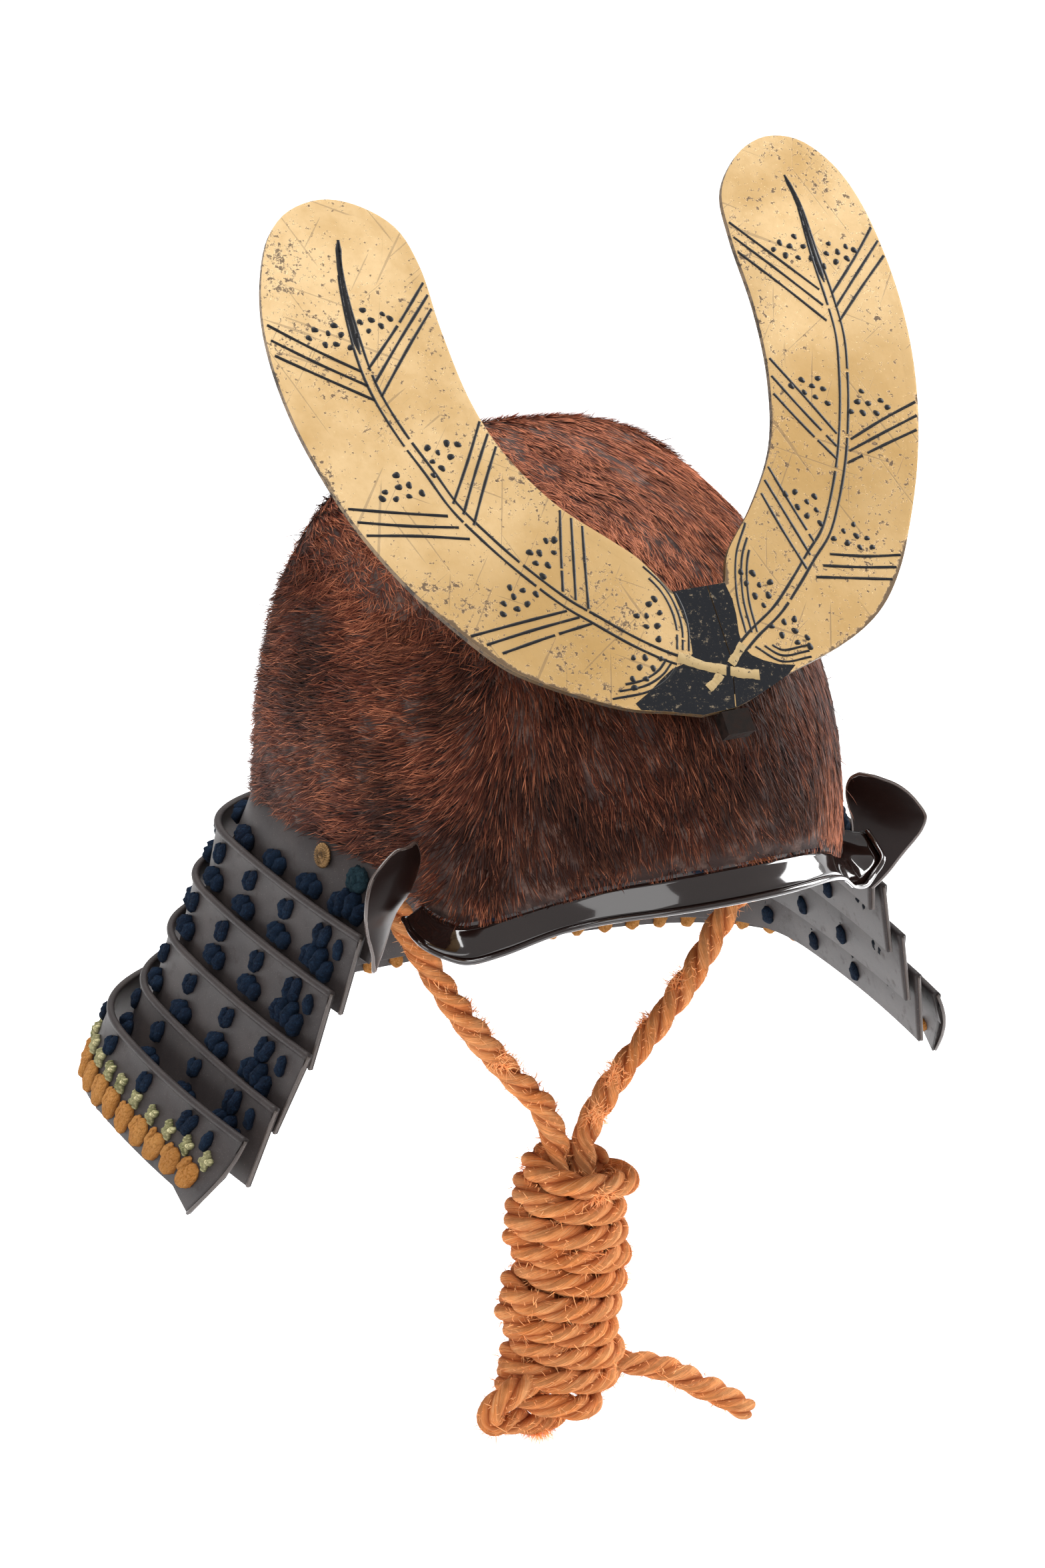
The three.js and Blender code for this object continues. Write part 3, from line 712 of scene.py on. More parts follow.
class Finishes:
    """Every finish of the helmet, made once."""

    def __init__(self) -> None:
        """Makes every finish."""
        self.lacquer = Lacquer("satin_lacquer", (0.026, 0.0205, 0.0205), (0.060, 0.047, 0.043),
                               0.50, 0.5, shine=0.28).material()
        self.lacquer_rim = Lacquer("rubbed_rim", (0.058, 0.045, 0.040), (0.13, 0.10, 0.085),
                                   0.36, 0.5).material()
        self.gloss = Lacquer("gloss_lacquer", (0.012, 0.0052, 0.0042), (0.03, 0.018, 0.014),
                             0.10, 0.10, 1.0, 0.00001).material()
        self.leaf = Lacquer("dark_lacquer", (0.010, 0.0045, 0.0038), (0.02, 0.013, 0.011),
                            0.34, 0.1, 0.03, 0.00001, 0.12).material()
        self.gloss_edge = Lacquer("gloss_lacquer_edge", (0.06, 0.04, 0.034), (0.2, 0.16, 0.14),
                                  0.2, 0.3, 0.5, 0.00001).material()
        self.gold = GoldLeaf("gold_leaf", (0.92, 0.655, 0.345), (0.66, 0.415, 0.165),
                             (0.50, 0.300, 0.100), (0.050, 0.027, 0.016), 0.60).material()
        self.gold_edge = GoldLeaf("worn_gold_edge", (0.20, 0.12, 0.045), (0.08, 0.045, 0.02),
                                  (0.08, 0.045, 0.02), (0.02, 0.014, 0.01), 1.0).material()
        self.ink = Ink("black_line", (0.006, 0.006, 0.007), (0.36, 0.22, 0.085), 0.42).material()
        self.black = Ink("black_root", (0.008, 0.009, 0.012), (0.20, 0.155, 0.10), 0.64, 0.3).material()
        self.gold_line = Ink("gold_line", (0.42, 0.30, 0.14), (0.04, 0.03, 0.02), 0.62, 0.5).material()
        self.rope = Fibre("rope_yarn", (0.93, 0.315, 0.088), (1.0, 0.58, 0.28),
                          (0.38, 0.080, 0.020), 0.55, 34.0, 0.0009).material()
        self.blue = Fibre("blue_braid", (0.0075, 0.0175, 0.044), (0.022, 0.055, 0.110),
                          (0.0012, 0.0024, 0.007), 2.0, 11.0, 0.0006, True).material()
        self.teal = Fibre("faded_braid", (0.017, 0.046, 0.066), (0.040, 0.090, 0.110),
                          (0.004, 0.010, 0.015), 2.0, 11.0, 0.0006, True).material()
        self.amber = Fibre("amber_braid", (0.78, 0.33, 0.075), (0.90, 0.50, 0.18),
                           (0.30, 0.085, 0.014), 2.0, 11.0, 0.0006, True).material()
        self.green = Fibre("green_braid", (0.12, 0.13, 0.045), (0.88, 0.78, 0.46),
                           (0.012, 0.018, 0.008), 1.6, 3.4, 0.0009).material()
        self.hair = Hair("hide_hair", (0.006, 0.0015, 0.0010), (0.076, 0.0180, 0.0095),
                         (0.46, 0.165, 0.085), 0.5).material()
        self.fuzz = Hair("rope_fuzz", (0.80, 0.30, 0.10), (0.90, 0.42, 0.17),
                         (0.98, 0.62, 0.34), 0.7).material()
        self.skin = Skin("hide_skin", (0.026, 0.009, 0.006), (0.12, 0.066, 0.050)).material()
        self.iron = Metal("hammered_iron", (0.10, 0.09, 0.085), (0.05, 0.03, 0.022), 0.45, 0.8,
                          0.0006).material()
        self.socket = Metal("dark_socket", (0.010, 0.006, 0.0045), (0.028, 0.014, 0.010), 0.6,
                            0.75).material()
        self.gilt = Metal("gilt_rivet", (0.20, 0.115, 0.048), (0.045, 0.025, 0.012), 0.38,
                          0.85).material()


# ---- the bowl ----
@dataclass(frozen=True)
class BowlForm:
    """The bowl's outer surface, under the hair.

    Args:
        plan_power: Squareness in plan.
        rim_z: Where the rise begins.
        front_power: Squareness of the front.
        side_front: Squareness of the sides towards the front.
        side_back: Squareness of the sides towards the back.
        back_power: Squareness of the back.
    """

    half_width: float = 111.5
    middle_y: float = 66.0
    front: float = 174.0
    back: float = 54.0
    plan_power: float = 2.1
    height: float = 147.0
    rim_z: float = -4.0
    front_power: float = 3.1
    side_front: float = 1.95
    side_back: float = 3.3
    back_power: float = 3.2

    def point(self, turn: Array, z: Array, inset: float = 0.0) -> Array:
        """Points of the surface.

        Args:
            turn: Turns about the middle, 0 at the front, a quarter turn at the left.
            z: Heights.
            inset: Distance inside the outer surface.
        Returns:
            The points.
        """
        turn, z = np.broadcast_arrays(np.asarray(turn, float), np.asarray(z, float))
        top = self.height - inset
        rise = held((z - self.rim_z) / (top - self.rim_z))
        forward, aside = np.cos(turn), np.sin(turn)
        side = self.side_back + (self.side_front - self.side_back) * (1 + forward) / 2
        wide = (self.half_width - inset) * (1 - rise ** side) ** (1 / side)
        deep_front = (self.front - inset) * (1 - rise ** self.front_power) ** (1 / self.front_power)
        deep_back = (self.back - inset) * (1 - rise ** self.back_power) ** (1 / self.back_power)
        deep = np.where(forward > 0, deep_front, deep_back)
        power = 2 / self.plan_power
        return np.stack([wide * np.sign(aside) * np.abs(aside) ** power,
                         self.middle_y - deep * np.sign(forward) * np.abs(forward) ** power,
                         z], axis=-1)

    def turn_at(self, angle: Array) -> Array:
        """Turns whose rim point lies at angles from the front about the rim's middle.

        Args:
            angle: Angles in degrees, 0 to 180.
        Returns:
            The turns, in radians.
        """
        angle = np.asarray(angle, float)
        low, high = np.zeros_like(angle), np.full_like(angle, np.pi)
        for _ in range(40):
            middle = (low + high) / 2
            before = angle_of(self.point(middle, 0.0)) < angle
            low, high = np.where(before, middle, low), np.where(before, high, middle)
        return (low + high) / 2


def angle_of(p: Array) -> Array:
    """Angle of points from the front, about the middle of the rim."""
    return np.degrees(np.arctan2(np.abs(p[..., 0]), -(p[..., 1] - SEAT[1])))


@dataclass(frozen=True)
class RimForm:
    """The hide's edge and the visor's edge by angle from the front."""

    angle: tuple[float, ...] = (0, 18, 30, 42, 48, 52, 55.5, 59, 62, 65, 76, 115, 180)
    hide_z: tuple[float, ...] = (29.5, 26, 18.5, 7.5, 2.4, 0, 0, 0.8, 3.4, 6, 13, 11, 6)
    visor_z: tuple[float, ...] = (18, 15, 7.5, -6, -10.2, -8.8, -5.2, -2.6, 0.7, 1, 1, 1, 1)
    visor_out: tuple[float, ...] = (8.5, 8, 6.5, 7, 11, 14, 17.5, 15.5, 12.5, 12.5, 12.5, 12.5, 12.5)

    def at(self, angle: Array, column: tuple[float, ...]) -> Array:
        """A column on a smooth curve through its rows.

        Args:
            angle: Angles in degrees.
            column: One of the rim's columns.
        Returns:
            The values.
        """
        a, c = np.array(self.angle, float), np.array(column, float)
        slope = np.gradient(c, a)
        slope[1:-1] = (c[2:] - c[:-2]) / (a[2:] - a[:-2])
        slope[0] = 0
        i = np.clip(np.searchsorted(a, angle), 1, len(a) - 1)
        width = a[i] - a[i - 1]
        t = held((angle - a[i - 1]) / width)
        s = t * t * (3 - 2 * t)
        return c[i - 1] * (1 - s) + c[i] * s + width * (
            slope[i - 1] * t * (1 - t) ** 2 - slope[i] * t * t * (1 - t))


BOWL = BowlForm()
RIM = RimForm()


def dress_node(name: str, finish: Material) -> Piece:
    """Gives a CAD node its finish.

    Args:
        name: The node.
        finish: The material.
    Returns:
        The node.
    """
    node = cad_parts[name]
    node.data.materials.clear()
    node.data.materials.append(finish)
    return node


@dataclass
class Bowl:
    """The iron bowl under the hide, whose inside shows at the rim."""

    finishes: Finishes

    def mesh(self) -> list[Piece]:
        """Dresses the bowl's own node."""
        return [dress_node("bowl", self.finishes.iron)]


@dataclass
class Hide:
    """The fur-covered hide over the bowl."""

    finishes: Finishes
    hairs: int = 86000
    pieces: int = 3
    length: float = 12.5
    width: float = 0.35
    seed: int = 11

    def sheet(self, around: int, up: int, sink: float) -> Array:
        """A fine grid over the hide.

        Args:
            around: Columns.
            up: Rows.
            sink: How far under the outer surface it lies.
        Returns:
            The grid, from the edge to the crown.
        """
        angle = np.linspace(0, 360, around, endpoint=False)
        half = np.where(angle <= 180, angle, 360 - angle)
        turn = BOWL.turn_at(half) * np.where(angle <= 180, 1, -1)
        low = angle_of(BOWL.point(turn, 0.0))
        edge = RIM.at(low, RIM.hide_z) - 0.4 - 1.5 * held((low - 60) / 15)
        level = np.linspace(0, 1, up)[:, None]
        top = BOWL.height - sink
        z = edge + (top - edge) * np.sin(level * np.pi / 2)
        return BOWL.point(np.broadcast_to(turn, z.shape), z, sink)

    def mesh_skin(self) -> Piece:
        """The hide itself.

        Returns:
            The piece.
        """
        skin = Surface("hide_skin")
        outer, inner = self.sheet(200, 60, 0.6), self.sheet(200, 60, 2.9)
        lumps = Waves(3, 34).at(outer) * 0.35
        outer = outer + unit(outer - [0, 20, 20]) * np.minimum(lumps, 0.3)[..., None]
        skin.add_grid(np.concatenate([outer[::-1], inner]), closed_rows=True)
        return skin.build([self.finishes.skin], ("fur_hide",))

    def flow(self, p: Array, normal: Array) -> Array:
        """The way the hair lies.

        Args:
            p: Roots.
            normal: Outward normals there.
        Returns:
            Unit directions in the surface.
        """
        angle = angle_of(p)
        side = np.sign(p[:, 0])
        top = eased(84, 128, p[:, 2])
        front = 1 - eased(34, 74, angle)
        rear = eased(118, 160, angle)
        ahead = np.array([0.12, -1.0, -0.15])
        down = np.array([0.22, -0.1, -1.0])
        to_back = np.stack([0.1 * side, np.full(len(p), 1.0), np.full(len(p), -0.42)], axis=1)
        fall = np.array([0.0, 0.35, -1.0])
        way = front[:, None] * down + (1 - front[:, None]) * (
            rear[:, None] * fall + (1 - rear[:, None]) * to_back)
        way = top[:, None] * ahead + (1 - top[:, None]) * way
        drift = [Waves(seed, size).at(p) for seed, size in ((5, 75), (6, 60), (7, 70))]
        way = way + 0.10 * np.stack(drift, axis=1)
        way = way - normal * (way * normal).sum(axis=1, keepdims=True)
        weak = held(1 - np.linalg.norm(way, axis=1, keepdims=True) / 0.5)
        tousled = np.random.default_rng(17).normal(size=way.shape)
        tousled = tousled - normal * (tousled * normal).sum(axis=1, keepdims=True)
        return unit(way + 1.1 * weak * tousled)

    def roots(self, rng: np.random.Generator) -> tuple[Array, Array]:
        """Scatters roots evenly over the hide.

        Args:
            rng: Random numbers.
        Returns:
            The roots and the normals there.
        """
        grid = self.sheet(240, 90, 0.7)
        grid = np.concatenate([grid, grid[:, :1]], axis=1)
        a, b, c, d = cells(grid)
        normal = np.cross(c - a, d - b)
        area = np.linalg.norm(normal, axis=-1).reshape(-1)
        centre = ((a + b + c + d) / 4).reshape(-1, 3)
        n = unit(normal).reshape(-1, 3)
        outward = centre - np.array([0, 30, 20])
        n = n * np.sign((n * outward).sum(axis=1, keepdims=True))
        pick = rng.choice(len(area), self.hairs, p=area / area.sum())
        u, v = rng.random((2, self.hairs, 1))
        corners = [x.reshape(-1, 3)[pick] for x in (a, b, c, d)]
        p = (corners[0] * (1 - u) * (1 - v) + corners[1] * u * (1 - v)
             + corners[2] * u * v + corners[3] * (1 - u) * v)
        return p, n[pick]

    def mesh(self) -> list[Piece]:
        """Makes the hide and its hair."""
        return [self.mesh_skin(), *self.mesh_hair()]

    def mesh_hair(self) -> list[Piece]:
        """The hairs, as narrow tapering ribbons.

        Returns:
            The pieces.
        """
        rng = np.random.default_rng(self.seed)
        p, n = self.roots(rng)
        count = len(p)
        way = self.flow(p, n)
        across = np.cross(n, way)
        clump = 0.15 * Waves(8, 9).at(p) + 0.15 * rng.normal(size=count)
        way = unit(way + across * clump[:, None])
        edge_z = RIM.at(angle_of(p), RIM.hide_z)
        above = p[:, 2] - edge_z
        front = held(1.6 - angle_of(p) / 50)
        worn = np.clip(above / 16, 0.34, 1) * front + (1 - front)
        patch = Waves(9, 46).at(p)
        bare = (front > 0.3) & (above < 11) & (Waves(10, 13).at(p) > 0.55)
        length = self.length * worn * rng.uniform(0.7, 1.2, count) * np.where(bare, 0.4, 1)
        lift = rng.uniform(0.05, 0.13, count) + 0.04 * (Waves(12, 18).at(p) > 0.7)
        stray = rng.random(count) < 0.005
        lift = np.where(stray, rng.uniform(0.45, 0.8, count), lift)
        side = unit(np.cross(n, way)) * 0.5
        side = side + n * rng.uniform(-0.3, 0.3, (count, 1))
        width = self.width * rng.uniform(0.7, 1.25, count)
        rows, tints = [], []
        bright = rng.random(count) < 0.12
        shade = held(0.37 + 0.17 * patch + 0.06 * Waves(13, 15).at(p)
                        + rng.normal(0, 0.17, count)
                        + 0.50 * bright)
        # Painted highlight: hairs on the crown are made lighter and warmer, as if lit from above.
        crown = held((p[:, 2] - 95) / 40)
        around = angle_of(p)
        temple = held((around - 20) / 15) * held((82 - around) / 18) \
            * (p[:, 0] > 0) * held(1.5 - above / 42)
        # Painted shade: hairs low on the front, under the crest, are darkened; the temple is left out.
        dark = front * (1 - temple)
        dark = 0.42 * dark * held(above / 12 - 0.6) * held(1.5 - above / 60)
        shade = held(shade + 0.58 * crown + 0.62 * temple - dark)
        warm = held(0.30 + 0.13 * Waves(14, 30).at(p) + 0.55 * crown + 0.8 * temple
                       + rng.normal(0, 0.30, count) + 0.4 * bright)
        for t in (0.0, 0.33, 0.68, 1.0):
            bend = t * (1 - 0.25 * t)
            at = (p + way * (length * t)[:, None]
                  + n * (length * lift * bend)[:, None]
                  - n * (length ** 2 * t * t / 260)[:, None])
            tint = np.stack([np.full(count, t), shade, warm], axis=1)
            if t < 1:
                w = (width * (1 - 0.45 * t))[:, None] * side
                rows += [at - w, at + w]
                tints += [tint, tint]
            else:
                rows.append(at)
                tints.append(tint)
        points, tint = np.stack(rows, axis=1), np.stack(tints, axis=1)
        made = []
        for k in range(self.pieces):
            part = slice(k, None, self.pieces)
            pts, tin = points[part], tint[part]
            base = np.arange(len(pts))[:, None] * 7
            quads = np.concatenate([base + [0, 1, 3, 2], base + [2, 3, 5, 4]])
            fur = Surface(f"hide_hair_{k + 1}")
            fur.add(pts.reshape(-1, 3), quads, 0, None, tin.reshape(-1, 3))
            fur.add_faces(base + [4, 5, 6])
            made.append(fur.build([self.finishes.hair]))
        return made


# ---- neck guard ----
@dataclass(frozen=True)
class Edge:
    """One edge of a lame in plan.

    Args:
        end_x: Where its front end is, to the side.
        end_y: Where its front end is, to the front.
    """

    half_width: float
    back: float
    end_x: float
    end_y: float
    z: float

    def path(self) -> Array:
        """Points from the wearer's left front end round the back to the right.

        Returns:
            The points.
        """
        widest, side_steps, back_steps = 70.0, 36, 44
        t = np.arange(side_steps) / side_steps
        y = self.end_y + (widest - self.end_y) * t
        x = self.half_width - (self.half_width - self.end_x) * (1 - t) ** 2
        turn = np.linspace(0, np.pi / 2, back_steps + 1)
        power = 2 / 3.2
        bx = self.half_width * held(np.cos(turn)) ** power
        by = widest + (self.back - widest) * np.sin(turn) ** power
        half = np.column_stack([np.concatenate([x, bx]), np.concatenate([y, by]),
                                np.full(len(x) + len(bx), self.z)])
        return np.vstack([half, half[-2::-1] * [-1, 1, 1]])


@dataclass(frozen=True)
class PlateFace:
    """The outer face of a laced plate, from its top edge to its bottom edge.

    Args:
        droop: Whether its front corners droop to a point.
    """

    top: Array
    bottom: Array
    droop: bool = False

    def normals(self) -> Array:
        """Outward normals along the plate."""
        along = np.gradient(self.top, axis=0)
        return unit(np.cross(along, self.top - self.bottom))

    def points(self, down: Array, out: Array) -> Array:
        """Rows of points across the plate at every station.

        Args:
            down: Share of the way to the bottom edge.
            out: Distance in front of the outer face.
        Returns:
            Points, stations by places by 3.
        """
        down, out = np.asarray(down, float), np.asarray(out, float)
        grid = (self.top[:, None] * (1 - down[None, :, None])
                + self.bottom[:, None] * down[None, :, None]
                + self.normals()[:, None] * out[None, :, None])
        if self.droop:
            steps = np.arange(len(self.top))
            near = np.minimum(steps, steps[::-1])
            hold = held(1 - near / 6)[:, None]
            grid[..., 1] -= hold * 4 * down * (1 - down) * 6
            grid[..., 2] -= hold * 7 * held(down) ** 3
        return grid

    def place(self, share: float, down: float) -> tuple[Array, Array, Array]:
        """A spot on the outer face.

        Args:
            share: Share of the way from the left front end to the right one.
            down: Share of the way to the bottom edge.
        Returns:
            The spot, the outward normal and the way up the plate.
        """
        at = np.concatenate([[0], np.cumsum(np.linalg.norm(np.diff(self.bottom, axis=0), axis=1))])
        goal = share * at[-1]
        mix = lambda rows: np.array([np.interp(goal, at, rows[:, k]) for k in range(3)])
        a, b = mix(self.top), mix(self.bottom)
        return a * (1 - down) + b * down, unit(mix(self.normals())), unit(a - b)


class Stitch(Enum):
    """Kinds of stitch in the lacing."""

    SHORT = "short"
    OBLONG = "oblong"
    SMALL = "small"
    LOOP = "loop"
    CLUSTER = "cluster"
    HEM = "hem"
    INNER = "inner"
    INNER_HEM = "inner hem"
    CRINKLED = "crinkled"


@dataclass
class Lobe:
    """A plump lobe of braid standing on a face.

    Args:
        x: Its middle, to the side.
        y: Its middle, up the plate.
        base: How far out its middle plane lies.
    """

    x: float
    y: float
    width: float
    height: float
    rise: float
    lean: float = 0.0
    base: float = 0.2


@dataclass(frozen=True)
class StitchForm:
    """The form of one kind of stitch.

    Args:
        lobes: What it is made of.
    """

    down: float
    look: int
    lobes: tuple[Lobe, ...]


STITCHES: dict[Stitch, StitchForm] = {
    Stitch.SHORT: StitchForm(0.26, 1, (
        Lobe(-1.5, 0.7, 5.0, 9.2, 2.3, -15), Lobe(1.7, -0.7, 4.8, 8.8, 2.6, 13))),
    Stitch.OBLONG: StitchForm(0.27, 1, (
        Lobe(-1.8, 0.7, 5.2, 11.8, 3.0, -8), Lobe(2.0, -0.8, 5.2, 11.2, 3.2, 10))),
    Stitch.SMALL: StitchForm(0.30, 1, (Lobe(0.0, 0.0, 5.4, 9.0, 2.4, 8),)),
    Stitch.LOOP: StitchForm(0.585, 1, (
        Lobe(-4.0, -0.2, 6.0, 8.0, 3.8, -24), Lobe(0.3, 0.5, 6.4, 9.0, 4.7, -12),
        Lobe(4.5, -0.4, 5.6, 7.8, 3.9, 6))),
    Stitch.CLUSTER: StitchForm(0.56, 1, (
        Lobe(-6.6, -1.0, 6.0, 10.6, 4.4, -16), Lobe(-2.0, 1.0, 6.4, 12.4, 5.2, -9),
        Lobe(2.9, 0.7, 6.2, 12.0, 5.3, -3), Lobe(7.2, -1.2, 5.4, 9.6, 4.4, 6))),
    Stitch.INNER: StitchForm(0.76, 1, (Lobe(0.0, 0.0, 6.4, 9.5, 2.0, 12),)),
    Stitch.HEM: StitchForm(0.77, 3, (
        Lobe(0.0, -0.4, 9.4, 14.2, 2.9, -15), Lobe(5.2, 0.4, 4.4, 9.4, 1.8, -8))),
    Stitch.INNER_HEM: StitchForm(0.88, 3, (Lobe(0.0, 0.0, 6.6, 11.0, 2.6, 24),)),
    Stitch.CRINKLED: StitchForm(0.49, 4, (
        Lobe(-1.4, 1.2, 2.7, 5.2, 2.5, -32), Lobe(1.3, 1.4, 2.6, 5.0, 2.6, 26),
        Lobe(-1.2, -1.5, 2.6, 4.8, 2.5, 30), Lobe(1.4, -1.3, 2.7, 5.0, 2.4, -24),
        Lobe(0.0, 0.0, 2.6, 6.2, 3.0, 6))),
}


@dataclass
class Lacing:
    """Braid stitches on the plates.

    Args:
        around: Faces round a lobe.
        along: Faces along a lobe.
    """

    rng: np.random.Generator
    around: int = 12
    along: int = 11

    def lobe(self, surface: Surface, spot: tuple[Array, Array, Array],
             lobe: Lobe, look: int, inside: bool) -> None:
        """Adds one lobe.

        Args:
            surface: Where it goes.
            spot: Its place, the normal and the way up.
            lobe: Its form.
            look: Index of its finish.
            inside: Whether it stands on the inner face.
        """
        at, out, up = spot
        if inside:
            out = -out
            at = at + out * 1.5
        right = np.cross(up, out)
        lean = math.radians(lobe.lean + self.rng.normal(0, 4))
        axis = up * math.cos(lean) + right * math.sin(lean)
        flank = np.cross(axis, out)
        scale = self.rng.uniform(0.93, 1.07, 3)
        t = np.linspace(-1, 1, self.along + 1)[:, None]
        a = circle(self.around)[None]
        fat = (1 - np.abs(t) ** 2.6) ** 0.5
        fat = np.maximum(fat, 0.02)
        ripple = 1 + 0.10 * np.sin(a * 3 + t * 5.5 + self.rng.uniform(0, 6)) + 0.05 * np.sin(t * 13 + a)
        x = lobe.width / 2 * scale[0] * fat * np.cos(a) * ripple
        y = lobe.height / 2 * scale[1] * t * np.ones_like(a)
        z = lobe.base + lobe.rise * scale[2] * np.sin(a) * np.where(np.sin(a) < 0, 0.35, 1) \
            * np.maximum(fat, 0.05) ** 0.8 * ripple
        centre = at + right * lobe.x + up * lobe.y
        grid = (centre + flank * x[..., None] + axis * y[..., None] + out * z[..., None])
        uv = np.stack([np.broadcast_to(a / (2 * np.pi), x.shape) * lobe.width / 3 + lobe.x,
                       np.broadcast_to(t * lobe.height / 5, x.shape)], axis=-1)
        # Painted shade on the lobe's flanks and underside, where it meets the plate.
        painted_crease_shade = held(0.75 - np.sin(a) * 1.5) * np.ones_like(x)
        surface.add_closed(grid, look, uv, painted_crease_shade)

    def stitch(self, surface: Surface, face: PlateFace, kind: Stitch, share: float) -> None:
        """Adds one stitch, mirrored on the wearer's right.

        Args:
            surface: Where it goes.
            face: The plate's outer face.
            kind: Its kind.
            share: Its place along the plate.
        """
        form = STITCHES[kind]
        spot = face.place(share, form.down)
        flip = 1 if share < 0.5 else -1
        for lobe in form.lobes:
            self.lobe(surface, spot, replace(lobe, x=lobe.x * flip, lean=lobe.lean * flip),
                      form.look, kind in (Stitch.INNER, Stitch.INNER_HEM))


@dataclass(frozen=True)
class LacingPlan:
    """Where the stitches go along a plate.

    Args:
        first: Share of the first column.
        hem: Number of knots along the hem.
        hem_first: Share of the first knot.
        crinkle_shift: Share by which the small knots stand past the large ones.
    """

    columns: int = 15
    first: float = 0.096
    oblong: float = 0.043
    small: float = 0.021
    cluster: float = 0.04
    hem: int = 46
    hem_first: float = 0.014
    crinkle_shift: float = 0.004


@dataclass
class NeckGuard:
    """The top plate and the five lames, with their lacing."""

    finishes: Finishes
    plan: LacingPlan = LacingPlan()
    lames: tuple[tuple[Edge, Edge], ...] = (
        (Edge(119.7, 125.5, 112.7, -31.9, -10), Edge(125.5, 129, 118.7, -25.7, -43.5)),
        (Edge(128.6, 132, 122.4, -26.9, -32.9), Edge(136, 135.5, 130.2, -23.6, -65.3)),
        (Edge(138.6, 138.5, 132.2, -28.3, -56.4), Edge(148, 142.5, 143.2, -19.9, -91.3)),
        (Edge(149.6, 145.5, 144.1, -24.6, -78.2), Edge(159.5, 150, 153.1, -17, -113.2)),
        (Edge(163, 153.5, 155.5, -22, -90), Edge(175.5, 160, 171.5, -1, -121.5)),
    )
    top_plate: Edge = Edge(116, 119.5, 109.5, -30.5, -22)
    thickness: float = 1.5

    def section(self, height: float) -> tuple[Array, Array]:
        """Section of a lame, with its rolled ridge along the top.

        Args:
            height: The lame's height.
        Returns:
            Distances down as shares, and distances out in mm.
        """
        h, t = height, self.thickness
        ridge = [(3.1, 0.0), (2.6, 0.25), (2.3, 0.8), (1.9, 1.25), (1.2, 1.5), (0.5, 1.4),
                 (-0.1, 1.0), (-0.4, 0.4), (-0.45, -0.4), (-0.2, -1.1), (0.4, -t)]
        face = [(h, -0.25), (h - 0.3, 0.0), (h * 0.75, 0.0), (h * 0.5, 0.0), (h * 0.25, 0.0)]
        back = [(h * 0.5, -t), (h - 0.3, -t), (h, -t + 0.3)]
        rows = np.array(face + ridge + back)
        return rows[:, 0] / h, rows[:, 1]

    def rim_wire(self, surface: Surface, face: PlateFace, look: int) -> None:
        """Adds the thin raised rim along both front ends.

        Args:
            surface: Where it goes.
            face: The plate's outer face.
            look: Index of its finish.
        """
        down = np.linspace(0.02, 0.99, 26)
        grid = face.points(down, np.full(26, 0.1))
        for line in (grid[0], grid[-1]):
            surface.add_closed(tube(line, 0.75, 8), look)

    def laced(self, face: PlateFace, surface: Surface, lacing: Lacing, lowest: bool,
              stitched: bool) -> None:
        """Adds the stitches of one plate.

        Args:
            face: The plate's outer face.
            surface: Where they go.
            lacing: Makes the stitches.
            lowest: Whether this is the lowest lame.
            stitched: Whether the plate carries the short stitches.
        """
        plan = self.plan
        loops, clusters = ([] if lowest else [kind] for kind in (Stitch.LOOP, Stitch.CLUSTER))
        singles = [Stitch.SHORT, Stitch.INNER] * stitched + loops
        shares = np.linspace(plan.first, 1 - plan.first, plan.columns)
        stitches = [(kind, share) for share in shares for kind in singles]
        large = [(Stitch.OBLONG, plan.oblong), (Stitch.SMALL, plan.small)] * stitched
        large += [(kind, plan.cluster) for kind in clusters]
        stitches += large + [(kind, 1 - share) for kind, share in large]
        if lowest:
            for share in np.linspace(plan.hem_first, 1 - plan.hem_first, plan.hem):
                stitches += [(Stitch.HEM, share), (Stitch.INNER_HEM, share),
                             (Stitch.CRINKLED, share + plan.crinkle_shift)]
        for kind, share in stitches:
            lacing.stitch(surface, face, kind, share)

    def mesh(self) -> list[Piece]:
        """Makes the top plate and the lames.

        Returns:
            The pieces.
        """
        f = self.finishes
        looks = [f.lacquer, f.blue, f.lacquer_rim, f.amber, f.green]
        rng = np.random.default_rng(21)
        made = [self.mesh_top(Lacing(rng), looks)]
        for i, (top, bottom) in enumerate(self.lames):
            lowest = i == len(self.lames) - 1
            surface = Surface(f"laced_lame_{i + 1}")
            face = PlateFace(top.path(), bottom.path(), lowest)
            surface.add_closed(face.points(*self.section(top.z - bottom.z)))
            self.rim_wire(surface, face, 2)
            self.laced(face, surface, Lacing(rng), lowest, True)
            made.append(surface.build(looks, (f"lame_{i + 1}",)))
        return made

    def top_face(self) -> PlateFace:
        """Outer face of the top plate.

        Returns:
            The face, its upper edge just under the hide's edge.
        """
        low = self.top_plate.path()
        angle = angle_of(low)
        side = np.where(low[:, 0] < 0, -1.0, 1.0)
        high = BOWL.point(side * BOWL.turn_at(angle), RIM.at(angle, RIM.hide_z) - UNDER_HIDE, 0.6)
        return PlateFace(high, low)

    def mesh_top(self, lacing: Lacing, looks: list[Material]) -> Piece:
        """Makes the top plate.

        Args:
            lacing: Makes the stitches.
            looks: The neck guard's materials.
        Returns:
            The piece.
        """
        face = self.top_face()
        surface = Surface("laced_top_plate")
        down = np.array([1.0, 0.99, 0.7, 0.4, 0.01, 0.0, 0.0, 0.01, 0.5, 0.99, 1.0])
        out = np.array([-0.3, 0, 0, 0, 0, -0.3, -1.2, -1.5, -1.5, -1.5, -1.2])
        surface.add_closed(face.points(down, out))
        self.laced(face, surface, lacing, False, False)
        return surface.build(looks, ("top_plate",))


